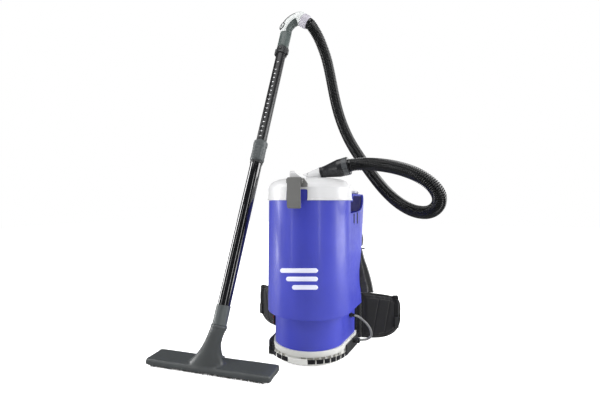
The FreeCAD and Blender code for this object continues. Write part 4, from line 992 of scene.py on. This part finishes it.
# ------------------------------------------------------------------ wand handle, two moulded halves
HP = [w(803.3), w(820), w(836), w(852), w(866), (-121.9, 111.9, 1041.6), (-112.3, 115.4, 1057.2), (-99.0, 118.7, 1069.3), (-85.0, 121.0, 1074.4), S0 - SW * 6, S0 + SW * 2.2]
hc = catmull(HP, 12)
for _ in range(40):
    hc[1:-1] = hc[1:-1] * 0.5 + (hc[:-2] + hc[2:]) * 0.25
hc, hu = resample(hc, 1.6)
T_, N_h, B_h = frames(hc)
CEN = np.array((-88.0, 112.0, 1010.0))
verts, faces, fm = [], [], []
n = 48
for i in range(len(hc)):
    inn = CEN - hc[i]
    inn = inn - T_[i] * (inn @ T_[i])
    inn /= np.linalg.norm(inn)
    sd = np.cross(T_[i], inn)
    u_ = hu[i] / hu[-1]
    tpos = (hc[i] - WB) @ WU
    r_ = 18.9 if tpos < 860 else 19.3
    if u_ > 0.86:
        r_ = 19.6 + 2.6 * min(1, (u_ - 0.86) / 0.04)
    if 864 < tpos < 866.5 and u_ < 0.6:
        r_ = 18.3
    if tpos < 806 and u_ < 0.2:
        r_ = 18.2
    for q in range(n):
        a_ = 2 * math.pi * (q + 0.5) / n
        ca, sa = math.cos(a_), math.sin(a_)
        rr_ = r_
        # seam line between the halves, finger flats on the inner side
        if tpos > 868 or u_ > 0.5:
            da = min(abs(math.acos(max(-1, min(1, ca))) - math.radians(72)), 1)
            rr_ -= 0.7 * math.exp(-(da / 0.05) ** 2)
            rr_ -= 0.8 * max(0, ca) ** 4 * (0.5 + 0.5 * math.cos(u_ * 60))
        verts.append(tuple(hc[i] + (inn * ca + sd * sa) * rr_))
for i in range(len(hc) - 1):
    tpos = (hc[i] - WB) @ WU
    u_ = hu[i] / hu[-1]
    for q in range(n):
        q2 = (q + 1) % n
        faces.append((i * n + q, i * n + q2, (i + 1) * n + q2, (i + 1) * n + q))
        ca = math.cos(2 * math.pi * (q + 1) / n)
        fm.append(1 if ((tpos < 865 and u_ < 0.6) or (ca > 0.31 and u_ < 0.86)) else 0)
M["hgrey"] = plastic("handle_greygreen", (0.062, 0.078, 0.074), 0.4, 0.45, 1100.0, 0.15, 0.06)
faces.append(tuple(range(n)))
fm.append(1)
faces.append(tuple((len(hc) - 1) * n + q for q in range(n))[::-1])
fm.append(0)
o = mesh_obj("handle_bend", verts, faces, [M["handle"], M["hgrey"]])
bm = bmesh.new()
bm.from_mesh(o.data)
bmesh.ops.recalc_face_normals(bm, faces=bm.faces)
bm.to_mesh(o.data)
bm.free()
o.data.polygons.foreach_set("material_index", fm)
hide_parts("wand_handle")
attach(o, "handle")


def lathe(name, base, axis, prof_, mat, n=64, mod=None, close=True):
    # turned piece: prof_ is (distance along the axis, radius); mod changes the radius by (distance, angle)
    axis = unit(axis)
    h = np.array((0, 0, 1.0)) if abs(axis[2]) < 0.9 else np.array((1.0, 0, 0))
    a1 = unit(np.cross(axis, h))
    a2 = np.cross(axis, a1)
    verts, faces = [], []
    for t_, r_ in prof_:
        for q in range(n):
            a_ = 2 * math.pi * q / n
            rr_ = r_ + (mod(t_, a_) if mod else 0)
            verts.append(tuple(np.array(base) + axis * t_ + (a1 * math.cos(a_) + a2 * math.sin(a_)) * rr_))
    m_ = len(prof_)
    for i in range(m_ - (0 if close else 1)):
        i2 = (i + 1) % m_
        for q in range(n):
            q2 = (q + 1) % n
            faces.append((i * n + q, i * n + q2, i2 * n + q2, i2 * n + q))
    o = mesh_obj(name, verts, faces, mat)
    b_ = bmesh.new()
    b_.from_mesh(o.data)
    bmesh.ops.recalc_face_normals(b_, faces=b_.faces)
    b_.to_mesh(o.data)
    b_.free()
    return o


def dense(prof_, step=1.0):
    out = []
    for (a, b), (c, d) in zip(prof_[:-1], prof_[1:]):
        k_ = max(1, int(math.hypot(c - a, d - b) / step))
        for j in range(k_):
            out.append((a + (c - a) * j / k_, b + (d - b) * j / k_))
    out.append(prof_[-1])
    return out


swl = float(np.linalg.norm(S1 - S0))
o = lathe("hose_swivel_ring", S0, SW, dense([(2.7, 17.1), (2.7, 21.2), (3.4, 22.0), (8.0, 22.3), (9.0, 21.3), (10.0, 22.3), (18.0, 22.4), (19.0, 21.4), (20.0, 22.2), (swl - 4.0, 21.6), (swl - 1.0, 20.4), (swl - 0.6, 19.8), (swl - 0.6, 18.2), (swl - 3.0, 17.1)], 1.2), M["swivel"])
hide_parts("swivel_collar")
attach(o, "swivel")


def dimple(t_, a_):
    v_ = 0.0
    for tt in (15.0, 25.5, 36.0):
        for k_ in range(6):
            da = (a_ - k_ * math.pi / 3 + math.pi) % (2 * math.pi) - math.pi
            v_ -= 1.5 * math.exp(-((t_ - tt) / 3.6) ** 2 - (da * 21 / 4.6) ** 2)
    if 49.6 < t_ < 66:
        v_ += 0.35 * math.cos(a_ * 30)
    return v_


o = lathe("collar_sleeve", w(382.0), WU, dense([(0.4, 17.6), (0.4, 19.3), (1.2, 20.0), (5.0, 21.2), (10, 21.4), (42, 21.2), (46, 20.4), (48, 20.4), (50, 21.2), (62, 21.6), (64.5, 21.0), (67.6, 18.8), (67.8, 17.3), (61, 17.7)], 1.3), M["collar"], 96, dimple)
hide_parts("telescopic_collar")
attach(o, "collar")
o = lathe("collar_foot_ring", w(375.5), WU, dense([(0.0, 17.6), (0.0, 18.6), (0.5, 19.1), (2.6, 19.1), (3.1, 18.6), (3.6, 19.1), (6.2, 19.1), (6.8, 18.8), (6.8, 17.6)], 1.2), M["black"])
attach(o, "collar")

# bleed air dial: dark ring, light centre, pointer bar
KN = np.array((-0.479, -0.877, 0.0))
KN = unit(KN - WU * (KN @ WU))
KC = w(884) + KN * 17.5
o = lathe("bleed_dial", KC, KN, dense([(0.4, 3.0), (0.4, 13.2), (1.2, 13.9), (3.8, 13.7), (5.2, 12.6), (5.6, 11.2), (5.0, 9.8), (3.8, 9.4), (3.8, 3.0)], 0.8), M["black"], 64, lambda t_, a_: 0.3 * math.cos(a_ * 24) if 0.9 < t_ < 4.4 else 0)
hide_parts("bleed_valve_knob")
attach(o, "bleed")
c_ = lathe("bleed_dial_centre", KC, KN, dense([(3.0, 0.3), (3.0, 9.0), (4.6, 9.1), (5.6, 8.2), (6.0, 6.0), (6.1, 0.3)], 0.8), M["handle"], 48)
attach(c_, "bleed")
e1 = unit(np.cross(KN, WU))
e2_ = np.cross(KN, e1)
bar = []
for i in range(13):
    f = -1 + 2 * i / 12
    bar.append(KC + KN * (6.4 + 0.7 * (1 - f * f)) + e2_ * f * 7.0)
b_ = strap("bleed_dial_bar", bar, e1, 3.0, 1.6, M["collar"])
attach(b_, "bleed")

# bright patches set in the upper tube's slots: painted reflections of the chrome seen through the slots
FR = np.array((0.086, -0.9966, 0.0))
FR = unit(FR - WU * (FR @ WU))
FS = np.cross(WU, FR)
# near-white material for the patches that paint the reflections in the slots
M["detent"] = plastic("detent_painted_reflection", (0.86, 0.87, 0.88), 0.25, 0.6, 1500.0, 0.04, 0.02, 0.3, 0.0)
verts, faces = [], []
for i in range(-3, 16):
    c_0 = w(463.5 + 16.3 * i) + FR * 15.2
    b0 = len(verts)
    for zz_, sc_ in ((0.0, 1.0), (0.5, 0.8)):
        for q in range(16):
            a_ = 2 * math.pi * q / 16
            verts.append(tuple(c_0 + FR * zz_ + FS * math.cos(a_) * 3.1 * sc_ + WU * math.sin(a_) * 1.8 * sc_))
    for q in range(16):
        q2 = (q + 1) % 16
        faces.append((b0 + q, b0 + q2, b0 + 16 + q2, b0 + 16 + q))
    faces.append(tuple(b0 + q for q in range(16))[::-1])
    faces.append(tuple(b0 + 16 + q for q in range(16)))
o = mesh_obj("detent_painted_reflections", verts, faces, M["detent"])
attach(o, "handle")

# rounded edges on the latch lever
m = NODES["latch_lever"].modifiers.new("edge", "BEVEL")
m.width = 0.0014
m.segments = 3
m.limit_method = "ANGLE"
m.angle_limit = math.radians(40)
m.harden_normals = True

# ------------------------------------------------------------------ details laid on the shell
from mathutils.bvhtree import BVHTree


def bvh(node):
    me = NODES[node].data
    return BVHTree.FromPolygons([v.co[:] for v in me.vertices], [tuple(q.vertices) for q in me.polygons])


TREE = bvh("canister_shell")
EYE = Vector((0.3485, -1.0458, 0.458))
RT = Vector((0.9397, 0.3420, 0))
FW = Vector((-0.3420, 0.9397, 0))


def on_shell(tree, h, v_, lift=0.00025):
    # h across and v_ up, as slopes seen from the front right, to a point on the shell
    d_ = (FW + RT * h + Vector((0, 0, v_))).normalized()
    hit = tree.ray_cast(EYE, d_)
    if hit[0] is None:
        return None
    return hit[0] + hit[1] * (lift if hit[1].dot(d_) < 0 else -lift), (hit[1] if hit[1].dot(d_) < 0 else -hit[1])


def patch(name, outline, tree, mat, lift=0.00025, thick=0.0003, nx=36, ny=6):
    # outline(s, t) gives (h, v) slopes for s, t in 0..1
    verts, faces = [], []
    ok = True
    for j in range(ny + 1):
        for i in range(nx + 1):
            r_ = on_shell(tree, *outline(i / nx, j / ny), lift)
            if r_ is None:
                return None
            verts.append(tuple(r_[0]))
    for j in range(ny):
        for i in range(nx):
            a_ = j * (nx + 1) + i
            faces.append((a_, a_ + 1, a_ + nx + 2, a_ + nx + 1))
    o = mesh_obj(name, verts, faces, mat, True, 1.0)
    m = o.modifiers.new("t", "SOLIDIFY")
    m.thickness = thick
    m.offset = 1.0
    apply_mods(o)
    b_ = bmesh.new()
    b_.from_mesh(o.data)
    bmesh.ops.recalc_face_normals(b_, faces=b_.faces)
    b_.to_mesh(o.data)
    b_.free()
    o.data.polygons.foreach_set("use_smooth", [True] * len(o.data.polygons))
    return o


M["decal"] = plastic("decal_pale", (0.72, 0.73, 0.86), 0.35, 0.5, 1400.0, 0.04, 0.02)
# near-black patches: painted shade inside the side grooves and the ring's air openings
M["gap"] = plastic("shadow_gap", (0.006, 0.006, 0.008), 0.6, 0.3, 900.0, 0.2, 0.2)
F_ = 365.0


def capsule(u0, u1, vc, hh):
    def f(s_, t_):
        u_ = u0 + (u1 - u0) * s_
        e_ = min(u_ - u0, u1 - u_)
        k_ = math.sqrt(max(0.02, 1 - (1 - min(1, e_ / hh)) ** 2))
        v_ = vc + (2 * t_ - 1) * hh * k_
        return (u_ - 300) / F_, (200 - v_) / F_
    return f


for i, (a_, b_2, c_2) in enumerate(((280.0, 318.0, 270.6), (286.0, 318.0, 279.0), (292.0, 318.0, 287.4))):
    o = patch("front_stripe_%d" % (i + 1), capsule(a_, b_2, c_2, 2.3), TREE, M["decal"])
    if o:
        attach(o, "canister")
# two side grooves as near-black strips of painted shade laid on the shell
for i, a_ in enumerate((354.1, 357.3)):
    o = patch("side_groove_painted_shade_%d" % (i + 1), (lambda s_, t_, a_=a_: ((a_ - 0.45 + 0.9 * t_ - 300) / F_, (200 - (212.5 + 10.8 * s_)) / F_)), TREE, M["gap"], 0.0001, 0.0002, 10, 2)
    if o:
        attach(o, "canister")

# air openings in the base ring as near-black patches of painted shade, with the grey bars between them
RTREE = bvh("base_ring")


def ring_slot(name, a0, a1, z0, z1, mat, lift, thick=0.0004):
    nx, nz = max(3, int((a1 - a0) / 1.5)), 4
    verts, faces = [], []
    for j in range(nz + 1):
        for i in range(nx + 1):
            a_ = math.radians(a0 + (a1 - a0) * i / nx)
            z_ = (z0 + (z1 - z0) * j / nz) * MM
            src = Vector((math.cos(a_) * 0.4, math.sin(a_) * 0.4, z_))
            hit = RTREE.ray_cast(src, Vector((-math.cos(a_), -math.sin(a_), 0)))
            r_ = 0.1195
            if hit[0] is not None:
                r_ = max(r_, math.hypot(hit[0].x, hit[0].y))
            r_ = min(r_, 0.1205) if abs(a_) > 0 else r_
            verts.append((math.cos(a_) * (r_ + lift), math.sin(a_) * (r_ + lift), z_))
    for j in range(nz):
        for i in range(nx):
            q = j * (nx + 1) + i
            faces.append((q, q + 1, q + nx + 2, q + nx + 1))
    o = mesh_obj(name, verts, faces, mat, True, 1.0)
    m = o.modifiers.new("t", "SOLIDIFY")
    m.thickness = thick
    m.offset = 1.0
    apply_mods(o)
    b_ = bmesh.new()
    b_.from_mesh(o.data)
    bmesh.ops.recalc_face_normals(b_, faces=b_.faces)
    b_.to_mesh(o.data)
    b_.free()
    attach(o, "canister")
    return o


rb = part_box("base_ring")
print("RING", [round(c * 1000, 1) for c in rb[0]], [round(c * 1000, 1) for c in rb[1]])
k_i = 0
for a0, a1 in [(-132.5, -124.2), (-122.8, -113.2), (-112.4, -102.0)] + [(-74.4, -64.6), (-63.2, -54.0), (-52.6, -44.6), (-43.2, -35.4), (-34.0, -26.4), (-25.0, -17.6), (-16.2, -9.0)]:
    k_i += 1
    ring_slot("air_opening_painted_shade_%d" % k_i, a0, a1, 15.4, 27.6, M["gap"], 0.0003)
o = ring_slot("ring_label_plate", -100.6, -75.6, 12.6, 28.4, M["ring"], 0.0003, 0.0007)

# ------------------------------------------------------------------ stage, camera, lights
sc = bpy.context.scene
fl = mesh_obj("floor", [(-6000, -6000, -0.4), (6000, -6000, -0.4), (6000, 6000, -0.4), (-6000, 6000, -0.4)], [(0, 1, 2, 3)], None or M["white"], False)
k = Mat("floor_pale")
n = k.noise(3.0, 3)
lpf = k.node("ShaderNodeLightPath")
k.link(k.mix(lpf.outputs["Is Glossy Ray"], k.mix(n, (0.90, 0.90, 0.90), (0.93, 0.93, 0.93)), (0.20, 0.20, 0.20)), k.b.inputs["Base Color"])
k.b.inputs["Roughness"].default_value = 0.9
k.b.inputs["Specular IOR Level"].default_value = 0.1
k.b.inputs["Emission Color"].default_value = (1, 1, 1, 1)
ln_ = k.node("ShaderNodeVectorMath", operation="LENGTH")
k.link(k.co, ln_.inputs[0])
k.link(k.math("MULTIPLY", lpf.outputs["Is Camera Ray"], k.remap(ln_.outputs["Value"], 0.62, 0.95, 1.0, 2.6)), k.b.inputs["Emission Strength"])
fl.data.materials.clear()
fl.data.materials.append(k.done())
wd = bpy.data.worlds.new("studio")
sc.world = wd
wd.use_nodes = True
wn = wd.node_tree
bg = wn.nodes["Background"]
bg.inputs[0].default_value = (0.97, 0.98, 1.0, 1)
bg2 = wn.nodes.new("ShaderNodeBackground")
bg2.inputs[0].default_value = (1, 1, 1, 1)
bg2.inputs[1].default_value = 1.0
lp = wn.nodes.new("ShaderNodeLightPath")
mx = wn.nodes.new("ShaderNodeMixShader")
wn.links.new(lp.outputs["Is Camera Ray"], mx.inputs[0])
mr_ = wn.nodes.new("ShaderNodeMapRange")
mr_.inputs["To Min"].default_value = 0.32
mr_.inputs["To Max"].default_value = 0.07
wn.links.new(lp.outputs["Is Glossy Ray"], mr_.inputs["Value"])
wn.links.new(mr_.outputs["Result"], bg.inputs[1])
wn.links.new(bg.outputs[0], mx.inputs[1])
wn.links.new(bg2.outputs[0], mx.inputs[2])
wn.links.new(mx.outputs[0], wn.nodes["World Output"].inputs["Surface"])


def area(name, loc, target, size, power, sy=None):
    L = bpy.data.lights.new(name, "AREA")
    L.energy = power
    L.size = size
    if sy:
        L.shape = "RECTANGLE"
        L.size_y = sy
    o = bpy.data.objects.new(name, L)
    sc.collection.objects.link(o)
    o.location = loc
    o.rotation_euler = (Vector(target) - Vector(loc)).to_track_quat("-Z", "Y").to_euler()
    return o


sl_ = area("strip_left", (-1.70, -0.40, 0.70), (0, 0, 0.40), 0.36, 32, 1.9)
sl_.data.use_shadow = False
area("strip_right", (1.72, 0.55, 0.70), (0, 0, 0.40), 1.15, 50, 1.9)
area("side_back", (0.62, 2.1, 0.55), (0.1, 0, 0.35), 1.2, 5, 1.3)
area("front_fill", (1.25, -1.35, 0.85), (0, 0, 0.35), 0.16, 6, 1.6)
area("front_left", (-0.99, -1.67, 0.75), (-0.15, -0.1, 0.5), 0.12, 5, 1.7)
area("top", (0.0, -0.8, 2.6), (0, 0, 0.2), 2.2, 40)
area("back", (0.3, 2.2, 1.6), (0, 0, 0.4), 1.6, 12)

cam = bpy.data.cameras.new("cam")
cam.lens = 21.9
cam.sensor_width = 36.0
co = bpy.data.objects.new("cam", cam)
sc.collection.objects.link(co)
co.location = (0.3485, -1.0458, 0.458)
co.rotation_euler = (math.pi / 2, 0, math.radians(20))
sc.camera = co
sc.view_settings.view_transform = "Standard"
